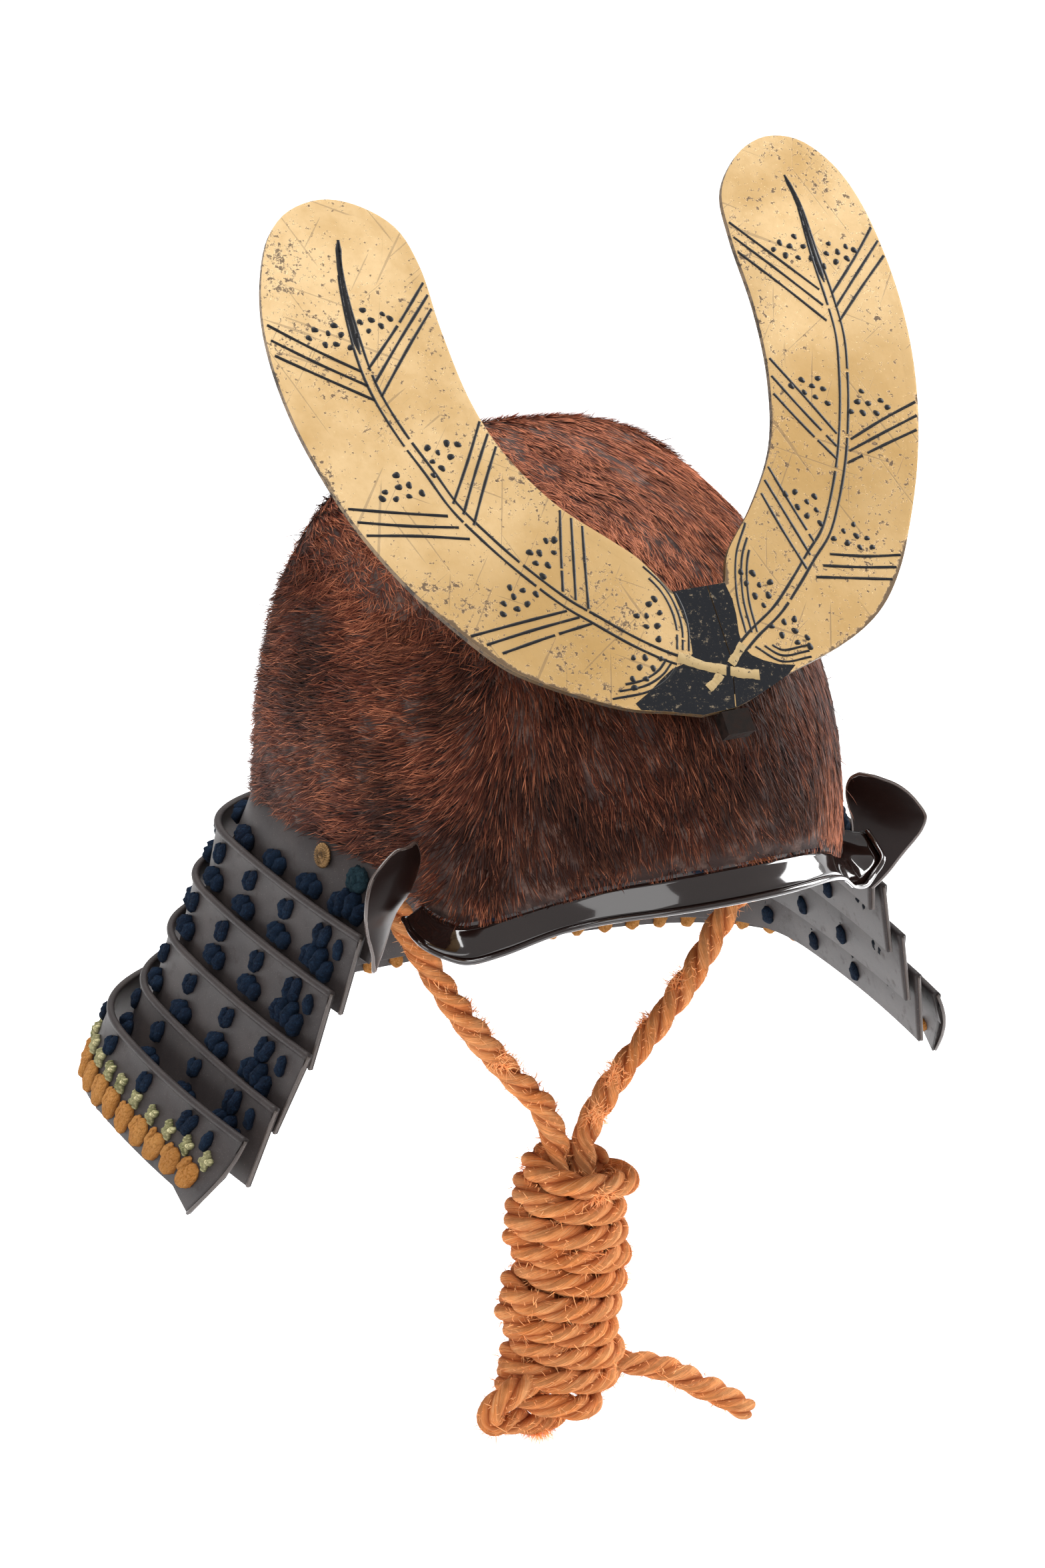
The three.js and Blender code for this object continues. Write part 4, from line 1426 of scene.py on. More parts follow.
def tube(line: Array, radius: float, sides: int) -> Array:
    """Rings of a tube along a line.

    Args:
        line: Its centreline.
        radius: Its radius.
        sides: Points round it.
    Returns:
        Points, rings by sides by 3.
    """
    _, side, other = carried_frames(line)
    a = circle(sides)
    return line[:, None] + radius * (side[:, None] * np.cos(a)[None, :, None]
                                     + other[:, None] * np.sin(a)[None, :, None])


# ---- visor and turn-backs ----
@dataclass
class Visor:
    """The narrow lacquered visor with its rolled edge.

    Args:
        half_angle: Angle of its ends from the front.
    """

    finishes: Finishes
    half_angle: float = 62.0
    thickness: float = 1.6
    roll: float = 1.15

    def mesh(self) -> list[Piece]:
        """Makes the visor.

        Returns:
            The piece, in a list.
        """
        angle = np.linspace(-self.half_angle, self.half_angle, 260)
        size = np.abs(angle)
        turn = np.sign(angle) * BOWL.turn_at(size)
        high = BOWL.point(turn, RIM.at(size, RIM.hide_z) - UNDER_HIDE, 0.8)
        out = unit(high * [1, 1, 0] - [0, SEAT[1], 0])
        low = BOWL.point(turn, RIM.at(size, RIM.visor_z), 0.8) \
            + out * RIM.at(size, RIM.visor_out)[:, None]
        down = unit(low - high)
        normal = unit(out - down * (out * down).sum(axis=1, keepdims=True))
        width = np.linalg.norm(low - high, axis=1)
        rows = []
        for share, depth in ((0.0, 0.0), (0.15, -0.35), (0.35, -0.7), (0.55, -0.85),
                             (0.75, -0.7)):
            rows.append(high + down * (width * share)[:, None] + normal * depth)
        for a in np.linspace(-0.6, 1.1, 11) * np.pi:
            rows.append(low + down * (self.roll * -math.cos(a))
                        + normal * (self.roll * (0.9 * math.sin(a) - 0.1)))
        for share, depth in ((0.8, -0.75), (0.5, -0.85), (0.2, -0.4), (0.0, 0.0)):
            rows.append(high + down * (width * share)[:, None] + normal * (depth - self.thickness))
        surface = Surface("lacquered_visor")
        surface.add_closed(np.stack(rows, axis=1)[:, ::-1])
        return [surface.build([self.finishes.gloss], ("visor",))]


@dataclass
class TurnBack:
    """A leaf-shaped turn-back at one end of the visor.

    Args:
        rows: Inner x and y, outer x and y and the height of each row, from its foot up.
        bow: How much it bows out.
    """

    finishes: Finishes
    side: Side
    rows: tuple[Row, ...]
    bow: float
    thickness: float = 1.5

    def mesh(self) -> list[Piece]:
        """Makes the turn-back.

        Returns:
            The piece, in a list.
        """
        rows = curve_through(np.array(self.rows), 70)
        t = np.linspace(0, 1, 22)
        inner = np.stack([self.side * rows[:, 0], rows[:, 1], rows[:, 4]], axis=1)
        outer = np.stack([self.side * rows[:, 2], rows[:, 3], rows[:, 4]], axis=1)
        width = np.linalg.norm(outer - inner, axis=1)
        grid = inner[:, None] * (1 - t[None, :, None]) + outer[:, None] * t[None, :, None]
        grid[..., 1] -= self.bow * 4 * t * (1 - t) * width[:, None] / 25
        normal = unit(np.cross(np.gradient(grid, axis=0), np.gradient(grid, axis=1)))
        behind = grid + normal * self.thickness * self.side
        surface = Surface(f"turned_leaf_{self.side.word}")
        ring = np.concatenate([grid, behind[:, ::-1]], axis=1)
        surface.add_closed(ring)
        edge, back = (np.concatenate([face[:, -1], face[-1, ::-1], face[::-1, 0]])
                      for face in (grid, behind))
        line = curve_through(((edge + back) / 2)[::6], 150)
        surface.add_closed(tube(line, 0.85, 8), 1)
        return [surface.build([self.finishes.leaf, self.finishes.gloss_edge],
                              (f"turnback_{self.side.word}",))]


# ---- crest ----
@dataclass(frozen=True)
class CrestPlane:
    """The plane of the crest plates.

    Args:
        origin: Where u and v are 0, on the back face.
    """

    origin: tuple[float, float, float] = (0.0, -89.2, 103.7)
    lean: float = 41.6
    thickness: float = 2.4

    def point(self, uv: Array, out: float | Array = 0.0) -> Array:
        """Points of the plane.

        Args:
            uv: Coordinates to the side and up the plate.
            out: Distance in front of the back face.
        Returns:
            The points.
        """
        uv = np.asarray(uv, float)
        lean = math.radians(self.lean)
        up = np.array([0, math.sin(lean), math.cos(lean)])
        front = np.array([0, -math.cos(lean), math.sin(lean)])
        out = np.broadcast_to(np.asarray(out, float), uv.shape[:-1])
        return (np.array(self.origin) + uv[..., :1] * np.array([1.0, 0, 0]) + uv[..., 1:] * up
                + out[..., None] * front)


@dataclass(frozen=True)
class Feather:
    """The feather drawn on one crest plate, in the plate's own coordinates.

    Args:
        rib: The rib from its tip to its foot.
        chevrons: First and last line of each chevron, each from the edge to the rib.
        arcs: The outermost line of each arc at the foot.
        dots: Middles of the clusters of dots.
    """

    rib: tuple[Flat, ...]
    chevrons: tuple[tuple[Flat, Flat, Flat, Flat], ...]
    arcs: tuple[tuple[Flat, ...], ...]
    dots: tuple[Flat, ...]


FEATHER_RIGHT = Feather(
    rib=((-96.1, 179.6), (-99, 167.1), (-100.9, 148.7), (-101, 127.4), (-99.3, 115.3), (-94.9, 100.1),
        (-88.8, 84.8), (-83.3, 70.4), (-75.5, 57.6), (-65.4, 43.6), (-52, 28.1), (-43.3, 20.6),
        (-30.2, 9.6), (-17.9, 1.4), (-9.4, -2.4)),
    chevrons=(((-133.2, 149), (-102.7, 126.7), (-133.8, 136.8), (-101.2, 115.2)),
        ((-67.6, 159.7), (-100.0, 127.4), (-67, 149.6), (-98.2, 116.1)),
        ((-123.8, 75), (-87, 67.3), (-120, 64.1), (-81.4, 57.5)),
        ((-62.4, 103.4), (-83.5, 71.7), (-59.1, 92.9), (-78.2, 62.5)),
        ((-92.6, 21.1), (-52.9, 25.2), (-82.6, 13), (-44.8, 19)),
        ((-42.8, 64.5), (-52, 32.6), (-36.1, 57.3), (-44.2, 24.7))),
    arcs=(((-18.7, 43.4), (-9.9, 30.2), (-7.4, 20.8), (-7.7, 11.7), (-10.3, 3)),
        ((-46.2, -10.3), (-31.1, -9.6), (-22.4, -6.3), (-17.3, -2.3))),
    dots=((-111.4, 141), (-92.1, 144.9), (-102.6, 78.4), (-81.6, 90.2), (-70.8, 31.4), (-54, 47.4),
        (-19.8, 18), (-30.4, -2)),
)
FEATHER_LEFT = Feather(
    rib=((96.1, 188.6), (97.9, 176.3), (97.2, 154.4), (97.2, 134.6), (96, 119), (91.4, 102),
        (86.2, 87.1), (78.3, 68.8), (68.4, 51.1), (61.1, 40.7), (52.1, 32.6), (41.7, 22.9),
        (30.5, 13.4), (18.2, 6), (11, 1)),
    chevrons=(((64.6, 171.6), (94, 138.9), (64.1, 158.8), (92.5, 125.7)),
        ((127.8, 164.4), (99, 136.8), (128.6, 151.2), (97.7, 124.7)),
        ((62.6, 113.1), (80.1, 79.2), (58.4, 100.1), (76.4, 69.1)),
        ((120, 88.4), (85.1, 76.2), (115.6, 76.7), (80.7, 67)),
        ((46.6, 69.7), (55, 37.8), (40, 59.6), (48.3, 27.5)),
        ((89.3, 27.4), (59.8, 31.9), (82.3, 18.4), (50.9, 23.8))),
    arcs=(((29.4, 48.8), (21.3, 36.9), (16.1, 21), (14.8, 6.5)),
        ((16.7, 0.8), (25.4, -6.4), (38, -6.5))),
    dots=((87.6, 156.4), (107.8, 152.4), (75.2, 98.1), (97.9, 88), (55.8, 52.2), (72.3, 35.8),
        (24.7, 23.5), (33.5, 2.8)),
)


@dataclass
class CrestPlate:
    """One flat feather-shaped crest plate.

    Args:
        feather: What is drawn on it.
        black: Outline of its black root.
        seam_gap: Width of the cut.
        margin: Least distance of the drawing from the outline.
    """

    finishes: Finishes
    side: Side
    outline: tuple[Flat, ...]
    feather: Feather
    black: tuple[Flat, ...]
    plane: CrestPlane = CrestPlane()
    seam: tuple[Flat, ...] = ((5.5, 26.8), (5.5, -3), (0.8, -21))
    seam_gap: float = 0.4
    margin: float = 0.7

    def edge(self) -> Array:
        """The plate's whole outline.

        Returns:
            Points in the plate's coordinates.
        """
        curve = curve_through(np.array(self.outline), 150) * [self.side, 1]
        seam = np.array(self.seam) + [self.side * self.seam_gap / 2, 0]
        return np.vstack([seam, curve])

    def ribbon(self, surface: Surface, line: Array, width: float, look: int,
               height: float = 0.14, taper: bool = False) -> None:
        """Adds a painted line.

        Args:
            surface: Where it goes.
            line: The line, in the plate's coordinates.
            width: Its width.
            look: Index of its finish.
            height: How far it stands above the face.
            taper: Whether its ends run out thin.
        """
        across = left_of(line)
        t = np.linspace(0, 1, len(line))
        rng = np.random.default_rng(int(abs(line[0] @ [13.0, 7.0])) + 1)
        swell = 1 + 0.09 * np.sin(t * 9 + rng.uniform(0, 6)) + 0.04 * np.sin(t * 31)
        if taper:
            swell = swell * held(np.minimum(t, 1 - t) * 9 + 0.25)
        half = (across * (width / 2 * swell)[:, None])
        out = self.plane.thickness
        rows = np.stack([self.plane.point(line + half, out - 0.1),
                         self.plane.point(line + half * 0.8, out + height),
                         self.plane.point(line - half * 0.8, out + height),
                         self.plane.point(line - half, out - 0.1)], axis=1)
        surface.add_grid(rows, look=look)

    def broken(self, surface: Surface, line: Array, width: float, rng: np.random.Generator) -> None:
        """Adds a painted line with a few rubbed gaps.

        Args:
            surface: Where it goes.
            line: The line, in the plate's coordinates.
            width: Its width.
            rng: Random numbers.
        """
        line = resample(line, max(12, int(length_of(line) / 0.8)))
        line = line[self.inside(line)]
        count = len(line)
        start = 0
        while start < count - 4:
            run = int(rng.uniform(24, 110))
            stop = min(count, start + run)
            if count - stop < 6:
                stop = count
            self.ribbon(surface, line[start:stop], width, 0)
            start = stop + int(rng.uniform(0.6, 2.2))

    def inside(self, points: Array) -> Array:
        """Tells which points lie well inside the plate's outline.

        Args:
            points: Points in the plate's coordinates.
        Returns:
            True for each point inside.
        """
        edge = self.edge()
        a, b = edge, np.roll(edge, -1, axis=0)
        x, y = points[:, None, 0], points[:, None, 1]
        crosses = ((a[:, 1] > y) != (b[:, 1] > y)) & (
            x < (b[:, 0] - a[:, 0]) * (y - a[:, 1]) / (b[:, 1] - a[:, 1] + 1e-12) + a[:, 0])
        away = np.linalg.norm(points[:, None] - resample(np.vstack([edge, edge[:1]]), 600),
                              axis=-1).min(axis=1)
        return (crosses.sum(axis=1) % 2 == 1) & (away > self.margin)

    def draw(self, surface: Surface) -> None:
        """Draws the feather.

        Args:
            surface: Where it goes.
        """
        rng = np.random.default_rng(40 + self.side)
        rib = curve_through(np.array(self.feather.rib), 240)
        across = left_of(rib)
        t = np.linspace(0, 1, len(rib))
        spread = 1.75 * held(t * 5) ** 0.7
        self.ribbon(surface, rib[:52], 2.6, 0, taper=True)
        for sign, begin in ((1, 0), (-1, 16)):
            line = (rib + across * (spread * sign)[:, None])[begin:]
            self.broken(surface, line, 1.2, rng)
        for a, b, c, d in self.feather.chevrons:
            a, b, c, d = (np.array(p, float) for p in (a, b, c, d))
            for share in (0.0, 0.5, 1.0):
                start, end = a + (c - a) * share, b + (d - b) * share
                middle = (start + end) / 2 + rng.normal(0, 0.35, 2)
                self.broken(surface, curve_through(np.array([start, middle, end]), 40), 1.25, rng)
        heart = np.array([self.side * 40.0, 22.0])
        for arc in self.feather.arcs:
            line = curve_through(np.array(arc), 60)
            normal = left_of(line)
            inward = np.sign((normal * (heart - line)).sum(axis=1).mean())
            for shift in (0.0, 2.4, 4.6):
                self.broken(surface, (line + normal * inward * shift)[int(shift * 3):], 1.0, rng)
        for centre in self.feather.dots:
            self.dots(surface, np.array(centre), rng)

    def dots(self, surface: Surface, centre: Array, rng: np.random.Generator) -> None:
        """Adds a cluster of painted dots.

        Args:
            surface: Where it goes.
            centre: Its middle.
            rng: Random numbers.
        """
        rib = curve_through(np.array(self.feather.rib), 120)
        near = np.argmin(np.linalg.norm(rib - centre, axis=1))
        up = unit(rib[max(near - 4, 0)] - rib[min(near + 4, 119)])
        across = np.array([up[1], -up[0]])
        across = across * np.sign(across @ (centre - rib[near]))
        plan = ((-6.6, -3.4), (-2.2, -2.4), (2.2, -1.2), (-4.6, 0.9), (-0.4, 1.9), (3.8, 3.2),
                (-2.8, 5.0), (6.4, 1.0))
        for x, y in plan:
            x, y = np.array([x, y]) * 1.16 + rng.normal(0, 0.35, 2)
            at = centre + across * x + up * y
            radius = rng.uniform(1.15, 1.55)
            a = circle(12)
            wobble = radius * (1 + 0.14 * np.sin(a * 2 + rng.uniform(0, 6))
                               + 0.08 * np.sin(a * 3 + rng.uniform(0, 6)))
            ring = at + np.stack([np.cos(a), np.sin(a)], axis=1) * wobble[:, None]
            inner = at + (ring - at) * 0.75
            out = self.plane.thickness
            grid = np.stack([self.plane.point(ring, out - 0.1),
                             self.plane.point(inner, out + 0.2)], axis=0)
            surface.add_closed(grid, 0)

    def rim_bands(self, surface: Surface, line: Array, high: float) -> None:
        """Adds the worn band along the edge of the front face.

        Args:
            surface: Where it goes.
            line: The plate's outline.
            high: Distance of its front face from the plane.
        """
        ring = resample(np.vstack([line[2:], line[:1]]), 260)
        inward = left_of(ring) * self.side
        depths, rises = (0.05, 0.8, 2.2, 4.5), (0.01, 0.05, 0.06, 0.02)
        flat = np.stack([ring + inward * depth for depth in depths])
        bands = [self.plane.point(row, high + rise) for row, rise in zip(flat, rises)]
        wear = np.array([1.0, 0.75, 0.35, 0.0])[:, None] * np.ones(len(ring))
        outer = np.clip(0.75 - ring[:, 1] / 160 + 0.35 * np.sin(ring[:, 1] / 11), 0.25, 1)
        surface.add_grid(np.stack(bands), look=0, uv=flat, tint=wear * outer)

    def polygon(self, surface: Surface, line: Array, low: float, high: float,
                look: int, rim: bool = False) -> None:
        """Adds a flat shape with straight sides.

        Args:
            surface: Where it goes.
            line: Its outline.
            low: Distance of its back face from the plane.
            high: Distance of its front face from the plane.
            look: Index of its finish, with the one after it on its sides.
            rim: Whether its front face has a worn band along the edge.
        """
        flat = [[(float(u), float(v), 0.0) for u, v in line]]
        faces = np.array(tessellate_polygon(flat))
        n = len(line)
        front, back = self.plane.point(line, high), self.plane.point(line, low)
        ab = np.diff(line[faces], axis=1)
        turn = ab[:, 0, 0] * ab[:, 1, 1] - ab[:, 0, 1] * ab[:, 1, 0]
        faces[turn < 0] = faces[turn < 0][:, ::-1]
        surface.add(front, faces, look, line)
        if rim:
            self.rim_bands(surface, line, high)
        surface.add(back, faces[:, ::-1], look)
        start = np.arange(n)
        following = np.roll(start, -1)
        sides = np.stack([start, following, following + n, start + n], axis=1)
        area = (line[:, 0] * np.roll(line[:, 1], -1) - np.roll(line[:, 0], -1) * line[:, 1]).sum()
        if area > 0:
            sides = sides[:, ::-1]
        surface.add(np.vstack([front, back]), sides, look + 1)

    def mesh(self) -> list[Piece]:
        """Makes the plate and its drawing.

        Returns:
            The pieces.
        """
        word, thick, f = self.side.word, self.plane.thickness, self.finishes
        plate = Surface(f"gold_crest_{word}")
        self.polygon(plate, self.edge(), 0.0, thick, 0, True)
        made = plate.build([f.gold, f.gold_edge], (f"crest_{word}",), smooth=False)
        drawing = Surface(f"crest_drawing_{word}")
        self.draw(drawing)
        self.polygon(drawing, np.array(self.black, float), thick - 0.05, thick + 0.09, 1)
        lines = drawing.build([f.ink, f.black, f.black, f.gold_line])
        return [made, lines]


@dataclass
class Crest:
    """The pair of crest plates, the gold stem and the socket.

    Args:
        stem: The stem's strokes and their widths.
        stem_height: How far the strokes stand above the plates.
    """

    finishes: Finishes
    left: tuple[Flat, ...] = (
        (9, -18.5), (26.7, -11.5), (50.6, -4.3), (66.1, 2.6), (77.1, 10.7), (87.7, 22.9), (96, 36),
        (109.5, 61.6), (119.8, 88.6), (126.1, 116.4), (128.1, 145.2), (125.3, 174.7), (118.9, 191.5),
        (108, 203), (96.1, 206), (86, 203.6), (76.6, 197.4), (66.5, 184), (64, 165), (63.8, 135),
        (60, 106), (50.6, 78.1), (33.1, 53.9), (24.1, 44.9), (17.6, 37.4), (13.2, 27))
    right: tuple[Flat, ...] = (
        (12.7, -21.8), (24.2, -18.8), (38.7, -15.6), (50.2, -11.1), (71.4, -0.2), (81.9, 6.9),
        (92.1, 18), (107, 38), (114, 49.8), (122, 66.5), (128, 84), (133.6, 108), (135.6, 131),
        (134.3, 150.6), (129.6, 168.5), (121.8, 184.4), (112, 193), (97.4, 196.5), (84, 192.5),
        (72, 182), (67.5, 166), (67, 140), (64.3, 110.1), (58, 89), (43.8, 66), (26.3, 49), (19, 41.8),
        (13.5, 33.5), (9.3, 26.5))
    black_left: tuple[Flat, ...] = (
        (5.71, 26.8), (12.9, 26.9), (13.8, 20), (13.3, 14.1), (11.9, 7), (11.7, 1.5), (14, -2.2),
        (18.1, -4.9), (24, -7.4), (30.4, -8.6), (26, -11.9), (17, -15.6), (9.1, -18.5), (1.0, -20.95),
        (5.71, -3))
    black_right: tuple[Flat, ...] = (
        (5.29, 26.8), (5.29, -3), (0.62, -20.95), (-12.7, -21.75), (-24.2, -18.75), (-36.5, -16.0),
        (-37.9, -13.4), (-31.2, -10), (-25, -6), (-19.4, -2.8), (-13, -1.2), (-9.2, 1.9), (-8.2, 7),
        (-8, 13.6), (-8.4, 20), (-9.2, 26.5))
    stem: tuple[tuple[tuple[Flat, ...], float], ...] = (
        (((-15.5, 1.6), (-6.4, -3.4), (1.9, -6.4)), 4.4),
        (((3.4, -6.9), (9, -8.8), (14.5, -10.1)), 4.4), (((12, 2.4), (7.5, -1.8), (4.6, -4.4)), 3.6),
        (((-0.9, -7.6), (-4, -10.2), (-7.6, -12.2)), 3.6))
    stem_height: float = 0.24

    def mesh(self) -> list[Piece]:
        """Makes the crest and dresses its socket.

        Returns:
            The pieces.
        """
        left = CrestPlate(self.finishes, Side.LEFT, self.left, FEATHER_LEFT, self.black_left)
        right = CrestPlate(self.finishes, Side.RIGHT, self.right, FEATHER_RIGHT, self.black_right)
        return [*left.mesh(), *right.mesh(), self.mesh_stem(left),
                dress_node("crest_socket", self.finishes.socket)]

    def mesh_stem(self, plate: CrestPlate) -> Piece:
        """Makes the gold stem painted across the black root.

        Args:
            plate: A crest plate, whose plane the stem lies on.
        Returns:
            The piece.
        """
        surface = Surface("crest_stem")
        for line, width in self.stem:
            curve = curve_through(np.array(line, float), 24)
            plate.ribbon(surface, curve, width, 0, self.stem_height)
        return surface.build([self.finishes.gold_line])


# ---- rivets and side knots ----
@dataclass
class SideFittings:
    """The flower-shaped rivet and the braid knot on each side of the top plate.

    Args:
        knot_base: How far out the knot's middle plane lies.
    """

    finishes: Finishes
    face: PlateFace
    radius: float = 4.9
    petals: int = 24
    rivet: Flat = (12.0, 5.2)
    knot: Flat = (-12.5, 3.2)
    knot_base: float = 1.3

    def mesh(self) -> list[Piece]:
        """Makes the rivet and the knot of both sides."""
        return [make(side) for side in Side for make in (self.mesh_rivet, self.mesh_knot)]

    def spot(self, side: Side, place: Flat) -> tuple[Array, ...]:
        """A spot on the top plate.

        Args:
            side: Which side.
            place: Its depth and height.
        Returns:
            The spot, the outward normal and the way up.
        """
        (y, z), face = place, self.face
        half = len(face.top) // 2
        low, high = face.bottom[:half], face.top[:half]
        at = lambda rows: np.array([np.interp(y, low[:, 1], rows[:, k]) for k in range(3)])
        a, b = at(high), at(low)
        point = a + (b - a) * (a[2] - z) / (a[2] - b[2])
        out = at(face.normals()[:half])
        flip = np.array([side, 1.0, 1.0])
        return point * flip, unit(out * flip), unit((a - b) * flip)

    def mesh_rivet(self, side: Side) -> Piece:
        """Makes the rivet.

        Args:
            side: Which side.
        Returns:
            The piece.
        """
        at, out, up = self.spot(side, self.rivet)
        right = np.cross(up, out)
        a = circle(self.petals * 6)
        rows = []
        for share, rise, depth in ((1.0, 1.2, 0), (0.99, 1.8, 0.3), (0.9, 2.4, 0.6),
                                   (0.74, 2.75, 0.6), (0.6, 2.7, 0.3), (0.57, 2.35, 0),
                                   (0.52, 2.85, 0.4), (0.38, 3.1, 0.5), (0.26, 2.9, 0.2),
                                   (0.2, 2.55, 0), (0.16, 3.0, 0.0), (0.06, 3.15, 0.0)):
            petals = self.petals if share > 0.55 else self.petals * 2 // 3
            groove = depth * np.abs(np.cos(a * petals / 2)) ** 0.6
            r = self.radius * share * (1 + (0.02 * np.abs(np.sin(a * petals / 2))
                                            if share > 0.9 else 0))
            rows.append(at + right * (r * np.cos(a))[:, None] + up * (r * np.sin(a))[:, None]
                        + out * (rise - depth + groove)[:, None])
        surface = Surface(f"petalled_rivet_{side.word}")
        surface.add_closed(np.stack(rows))
        return surface.build([self.finishes.gilt], (f"rosette_{side.word}",))

    def mesh_knot(self, side: Side) -> Piece:
        """Makes the braid knot.

        Args:
            side: Which side.
        Returns:
            The piece.
        """
        spot = self.spot(side, self.knot)
        surface = Surface(f"braid_button_{side.word}")
        lacing = Lacing(np.random.default_rng(60 + side), 10, 12)
        for form in ((0, 0, 10.6, 8.8, 2.6, 90), (-2.6, 1.6, 5.2, 6.0, 3.0, 35),
                     (2.4, 1.7, 5.0, 6.2, 3.2, -40), (-2.4, -1.8, 5.0, 6, 3.0, -38),
                     (2.6, -1.6, 5.0, 6, 3.1, 42), (0, 0.2, 4.8, 6.4, 3.7, 12)):
            lacing.lobe(surface, spot, Lobe(*form, base=self.knot_base), 0, False)
        return surface.build([self.finishes.teal], (f"side_knot_{side.word}",))


# ---- chin cord ----
@dataclass
class Rope:
    """A rope of three twisted strands along a line.

    Args:
        line: Its centreline, in mm.
        lay: Length of one full twist.
        frayed: Hairs of fuzz for each mm of it.
        strand_out: Distance of a strand's middle from the centreline, in rope radii.
        strand_fat: Radius of a strand, in rope radii.
        tufts: Where frayed tufts stand, as shares of its length.
    """

    name: str
    line: Array
    diameter: float = 11.0
    lay: float = 38.0
    seed: int = 1
    frayed: float = 5.0
    spacing: float = 1.25
    strand_out: float = 0.49
    strand_fat: float = 0.56
    tufts: tuple[float, ...] = ()

    def rings(self) -> tuple[Array, Array, Array, Array]:
        """Centreline points with frames, evenly spaced.

        Returns:
            The points, the two side directions and the distances along.
        """
        count = max(12, int(length_of(self.line) / self.spacing))
        line = resample(self.line, count)
        _, side, other = carried_frames(line)
        return line, side, other, np.linspace(0, length_of(line), count)

    def mesh(self, finishes: Finishes, replaces: tuple[str, ...]) -> Piece:
        """Makes the three strands.

        Args:
            finishes: The helmet's finishes.
            replaces: CAD nodes that the rope stands for.
        Returns:
            The piece.
        """
        rng = np.random.default_rng(self.seed)
        line, side, other, along = self.rings()
        surface = Surface(self.name)
        radius = self.diameter / 2
        a = circle(9)
        ends = held(np.minimum(along, along[-1] - along) / 4.0)
        for k in range(3):
            phase = 2 * np.pi * (k / 3 - along / self.lay) + 0.22 * np.sin(
                along / 23 + rng.uniform(0, 6))
            fat = radius * self.strand_fat * (1 + 0.07 * np.sin(along / 9.5 + rng.uniform(0, 6))
                                    + 0.05 * np.sin(along / 4.3 + rng.uniform(0, 6)))
            fat = fat * (0.45 + 0.55 * ends ** 0.5)
            outward = side * np.cos(phase)[:, None] + other * np.sin(phase)[:, None]
            sideways = -side * np.sin(phase)[:, None] + other * np.cos(phase)[:, None]
            middle = line + outward * (radius * self.strand_out)
            grid = (middle[:, None]
                    + outward[:, None] * (fat[:, None] * np.cos(a) * 0.96)[..., None]
                    + sideways[:, None] * (fat[:, None] * np.sin(a) * 1.04)[..., None])
            turn = a[None] / (2 * np.pi) + along[:, None] / 60
            uv = np.stack([turn + k * 3.7, np.broadcast_to(along[:, None] / 6, turn.shape)], axis=-1)
            # Painted shade in the grooves, on each strand's sides and inner face.
            painted_crease_shade = held(1 - np.cos(a) * 1.35) ** 2 * np.ones_like(turn)
            surface.add_closed(grid, 0, uv, painted_crease_shade)
        return surface.build([finishes.rope], replaces)

    def mesh_fuzz(self, finishes: Finishes) -> Piece:
        """Makes the loose fibres that stand off the rope.

        Args:
            finishes: The helmet's finishes.
        Returns:
            The piece.
        """
        rng = np.random.default_rng(self.seed + 100)
        line, side, other, along = self.rings()
        loose, each = int(length_of(self.line) * self.frayed), 130
        count = loose + each * len(self.tufts)
        pick = rng.integers(1, len(line) - 1, count)
        a = rng.uniform(0, 2 * np.pi, count)
        for k, share in enumerate(self.tufts):
            part = slice(loose + k * each, loose + (k + 1) * each)
            pick[part] = np.clip(int(share * len(line)) + rng.integers(-3, 4, each), 1, len(line) - 2)
            a[part] = rng.uniform(0, 2 * np.pi) + rng.normal(0, 0.5, each)
        out = side[pick] * np.cos(a)[:, None] + other[pick] * np.sin(a)[:, None]
        tangent = unit(line[np.minimum(pick + 1, len(line) - 1)] - line[pick - 1])
        tuft = np.sin(along[pick] / 7.0 + 2 * np.sin(along[pick] / 31)) > 0.55
        length = rng.uniform(1.2, 3.4, count) * np.where(tuft, 1.6, 1.0)
        length[loose:] = rng.uniform(3.0, 7.0, count - loose)
        root = line[pick] + out * (self.diameter / 2 * rng.uniform(0.86, 1.0, count))[:, None]
        way = unit(out * rng.uniform(0.25, 0.9, (count, 1))
                   + tangent * rng.normal(0, 1.0, (count, 1))
                   + np.cross(tangent, out) * rng.normal(0, 0.8, (count, 1)))
        curl = unit(rng.normal(size=(count, 3))) * 0.35
        flank = unit(np.cross(way, out + 0.01)) * (rng.uniform(0.10, 0.20, count))[:, None]
        mid = root + way * (length * 0.5)[:, None] + curl * (length * 0.25)[:, None]
        tip = root + way * length[:, None] + curl * (length * 0.9)[:, None]
        points = np.stack([root - flank, root + flank, mid - flank * 0.7, mid + flank * 0.7,
                           tip], axis=1)
        warmth = rng.random(count)
        tint = np.stack([np.broadcast_to([0, 0, 0.5, 0.5, 1.0], (count, 5)),
                         np.repeat(rng.uniform(0.5, 0.95, (count, 1)), 5, axis=1),
                         np.repeat(warmth[:, None], 5, axis=1)], axis=-1)
        base = np.arange(count)[:, None] * 5
        surface = Surface(self.name + "_fuzz")
        surface.add(points.reshape(-1, 3), base + [0, 1, 3, 2], 0, None, tint.reshape(-1, 3))
        surface.add_faces(base + [2, 3, 4])
        return surface.build([finishes.fuzz])


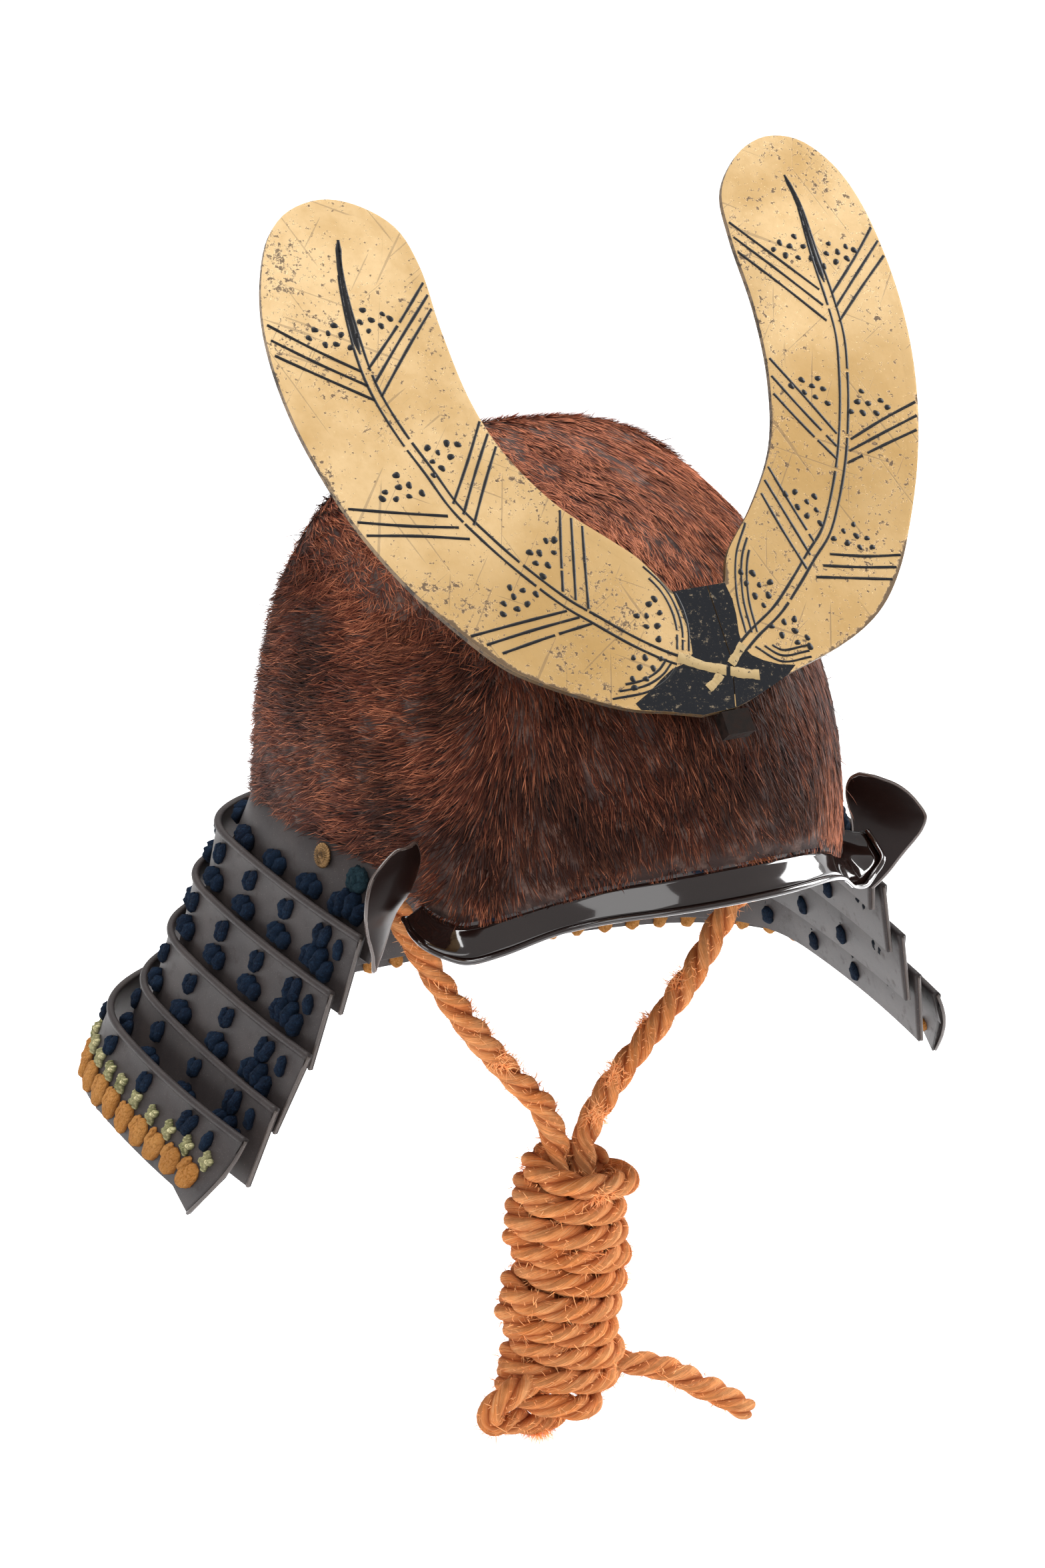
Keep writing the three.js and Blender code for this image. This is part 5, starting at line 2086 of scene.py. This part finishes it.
@dataclass(frozen=True)
class CordPlan:
    """Where the chin cord lies, in metres in the row frame.

    Args:
        coil_pitch: Distance between turns.
        coil_wide: Half axis of a turn to the side.
        coil_deep: Half axis of a turn to the front.
    """

    loop: tuple[Point, ...] = (
        (-0.0050, -0.002, -0.394), (-0.0058, -0.002, -0.330), (-0.0058, -0.002, -0.277),
        (-0.007, -0.002, -0.2735), (-0.013, -0.002, -0.2585), (-0.022, -0.002, -0.248),
        (-0.0334, -0.002, -0.234), (-0.0484, -0.002, -0.2133), (-0.061, -0.002, -0.1935),
        (-0.0724, -0.002, -0.1727), (-0.08, -0.0005, -0.159), (-0.0855, 0.005, -0.15),
        (-0.089, 0.017, -0.145), (-0.091, 0.036, -0.145), (-0.09, 0.058, -0.145),
        (-0.08, 0.078, -0.145), (-0.058, 0.09, -0.145), (-0.03, 0.094, -0.145), (0.0, 0.095, -0.145),
        (0.03, 0.094, -0.145), (0.058, 0.09, -0.145), (0.08, 0.078, -0.145), (0.09, 0.058, -0.145),
        (0.092, 0.038, -0.146), (0.094, 0.025, -0.151), (0.094, 0.014, -0.161), (0.09, 0.005, -0.17),
        (0.083, 0.0, -0.177), (0.075, -0.002, -0.1815), (0.069, -0.002, -0.1895),
        (0.0587, -0.002, -0.2077), (0.0434, -0.002, -0.2287), (0.025, -0.002, -0.249),
        (0.012, -0.002, -0.267), (0.009, -0.002, -0.2735), (0.0080, -0.002, -0.277),
        (0.0066, -0.002, -0.330), (0.0058, -0.002, -0.394))
    foot: tuple[Point, ...] = (
        (-0.012, -0.007, -0.3790), (-0.0215, -0.012, -0.3805), (-0.0305, -0.0155, -0.3812),
        (-0.0375, -0.0165, -0.3842), (-0.0405, -0.0155, -0.3895), (-0.0375, -0.0135, -0.3950),
        (-0.0305, -0.0105, -0.3975), (-0.022, -0.008, -0.4008), (-0.014, -0.005, -0.4045),
        (-0.006, -0.002, -0.4070), (0.002, 0.0, -0.404))
    tail: tuple[Point, ...] = (
        (0.025, -0.006, -0.386), (0.033, -0.009, -0.3865), (0.043, -0.011, -0.390),
        (0.053, -0.013, -0.396), (0.063, -0.014, -0.403), (0.072, -0.015, -0.409),
        (0.080, -0.016, -0.415), (0.085, -0.016, -0.419))
    diameter: float = 0.011
    turns: int = 10
    coil_top: float = -0.2845
    coil_pitch: float = 0.0112
    coil_wide: float = 0.0215
    coil_deep: float = 0.0165

    def coil(self) -> list[Point]:
        """Points of the coil's turns, from the first turn to the last.

        Returns:
            The points, in metres.
        """
        points = []
        per_turn = 40
        for i in range(self.turns * per_turn + 1):
            turn = 2 * math.pi * i / per_turn
            down = self.coil_pitch * i / per_turn
            share = i / (self.turns * per_turn)
            closing = max(0.0, 1 - share * 9) ** 2 * 0.5 + max(0.0, share * 8 - 7) ** 2 * 0.16
            uneven = 1 + 0.05 * math.sin(turn * 0.382) + 0.02 * math.sin(turn * 1.3) - closing
            x = 0.003 - 0.006 * down / 0.122 + 0.0020 * math.sin(turn * 0.27 + 0.5)
            points.append((x + self.coil_wide * uneven * math.cos(turn),
                           -0.002 + self.coil_deep * (1 - 0.5 * closing) * math.sin(turn),
                           self.coil_top - down - 0.0036 * math.cos(turn - 0.3)
                           - 0.006 * closing))
        return points


@dataclass
class ChinCord:
    """The chin cord: its loop, the wrapped coil with the free end, and the bight."""

    finishes: Finishes
    plan: CordPlan = CordPlan()

    def mesh(self) -> list[Piece]:
        """Makes the cord.

        Returns:
            The pieces.
        """
        made = []
        plan = self.plan
        loop = curve_through(np.array(plan.loop) * 1000, 640) * MM
        coil = np.array(plan.coil())
        tail = curve_through(np.vstack([coil[-3:], np.array(plan.tail)]) * 1000, 80) * MM
        wrapped = np.vstack([coil[:-3], tail])
        foot = curve_through(np.array(plan.foot) * 1000, 90) * MM
        legs = (0.125, 0.14, 0.155, 0.17, 0.185, 0.20, 0.215, 0.23, 0.775, 0.80, 0.83, 0.85)
        coil_ends = (0.03, 0.06, 0.3, 0.41, 0.86, 0.87, 0.88)
        for name, path, nodes, far_end, lay, seed, tufts in (
                ("chin_cord_loop", loop, ("cord_loop",), "object", "hanging", 3, legs),
                ("chin_cord_wraps", wrapped, ("cord_coil", "cord_tail"), "bare", "coiled", 4,
                 coil_ends),
                ("chin_cord_bight", foot, ("cord_foot",), "object", "loose", 5, (0.8, 0.85))):
            rope = Rope(name, path / MM + SEAT, plan.diameter / MM, seed=seed, tufts=tufts)
            pieces = [rope.mesh(self.finishes, nodes), rope.mesh_fuzz(self.finishes)]
            length_of(path)
            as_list(pieces[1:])
            made += pieces
        return made


# ---- stage ----
@dataclass(frozen=True)
class Lamp:
    """A soft box."""

    name: str
    place: Point
    target: Point
    power: float
    size: Flat

    def hang(self) -> None:
        """Hangs the lamp."""
        data = bpy.data.lights.new(self.name, "AREA")
        data.shape = "RECTANGLE"
        data.size, data.size_y = self.size
        data.energy = self.power
        back = unit(np.array(self.place) - np.array(self.target))
        side = unit(np.cross([0.0, 0.0, 1.0], back))
        linked(self.name, data).matrix_world = placing((side, np.cross(back, side), back), self.place)


@dataclass
class Studio:
    """Camera, lamps, world and floor.

    Args:
        floor_half: Half its width.
        camera_axes: The camera's way to the right, up and back.
        camera_place: Where it stands, in metres.
        world_light: Strength of the light from all sides.
    """

    floor_z: float = -0.4262
    floor_half: float = 30.0
    lens: float = 85.4
    camera_axes: tuple[Point, Point, Point] = (
        (0.8874, -0.4603, 0.0237), (0.153, 0.3427, 0.9269), (-0.4348, -0.8189, 0.3745))
    camera_place: Point = (-0.6536, -1.1853, 0.4247)
    world_light: float = 0.45
    lamps: tuple[Lamp, ...] = (
        Lamp("side_box", (1.7, 0.05, 0.5), (0, 0, -0.1), 40.0, (1.0, 1.2)),
        Lamp("top_box", (-0.1, 0.75, 1.7), (0, 0, 0), 42.0, (1.5, 1.1)),
        Lamp("fill_box", (-1.2, -1.3, 1.5), (0, 0, -0.1), 26.0, (2.0, 2.0)),
    )

    def set_camera(self) -> None:
        """Sets the camera."""
        data = bpy.data.cameras.new("camera")
        data.lens, data.sensor_width, data.clip_end = self.lens, 36.0, 60.0
        camera = linked("camera", data)
        camera.matrix_world = placing(self.camera_axes, self.camera_place)
        bpy.context.scene.camera = camera

    def set_light(self) -> None:
        """Sets the lamps and the world."""
        world = bpy.data.worlds.new("studio")
        world.use_nodes = True
        background = world.node_tree.nodes["Background"]
        background.inputs["Color"].default_value = (1, 1, 1, 1)
        background.inputs["Strength"].default_value = self.world_light
        bpy.context.scene.world = world
        for lamp in self.lamps:
            lamp.hang()
        bpy.context.scene.view_settings.view_transform = "Standard"

    def set_floor(self) -> None:
        """Sets the pale floor."""
        g = Graph("pale_floor")
        finish = g.finish(Base_Color=(0.93, 0.93, 0.94), Roughness=0.9,
                          Emission_Color=(1.0, 1.0, 1.0), Emission_Strength=0.56)
        mesh = bpy.data.meshes.new("floor")
        corners = [(x * self.floor_half, y * self.floor_half, self.floor_z)
                   for x, y in ((-1, -1), (1, -1), (1, 1), (-1, 1))]
        mesh.from_pydata(corners, [], [(0, 1, 2, 3)])
        mesh.materials.append(finish)
        linked("floor", mesh)


LEAF_LEFT: tuple[Row, ...] = (
    (104, -33, 108.5, -39, -27), (103, -32.6, 111.9, -43.2, -20), (102.6, -32.4, 115.4, -48.2, -10),
    (102.2, -32, 119, -53.3, 0), (101, -30, 121, -54.8, 7), (100.4, -29, 119.6, -51, 12),
    (101, -29.6, 115.6, -45, 17), (103, -33, 107.6, -37.6, 20.4))
LEAF_RIGHT: tuple[Row, ...] = (
    (107, -33.5, 109, -36, -23.5), (104.5, -35.5, 112.5, -42, -13), (101.5, -37, 117.5, -47.5, -1),
    (96.5, -41, 120.8, -53.5, 11), (94.5, -43.5, 118, -52, 22), (96, -44, 107, -47.5, 30))


def main() -> None:
    """Builds the helmet's looks in order and reports each piece."""
    logging.basicConfig(level=logging.INFO, format="%(message)s")
    studio = Studio()
    studio.set_camera()
    finishes = Finishes()
    guard = NeckGuard(finishes)
    for part in (ChinCord(finishes), guard, Visor(finishes),
                 TurnBack(finishes, Side.LEFT, LEAF_LEFT, 1.0),
                 TurnBack(finishes, Side.RIGHT, LEAF_RIGHT, 3.2), Crest(finishes),
                 SideFittings(finishes, guard.top_face()), Bowl(finishes), Hide(finishes)):
        for piece in part.mesh():
            LOG.info("%s: %d faces", piece.name, len(piece.data.polygons))
    studio.set_light()
    studio.set_floor()


if __name__ == "__main__":
    main()
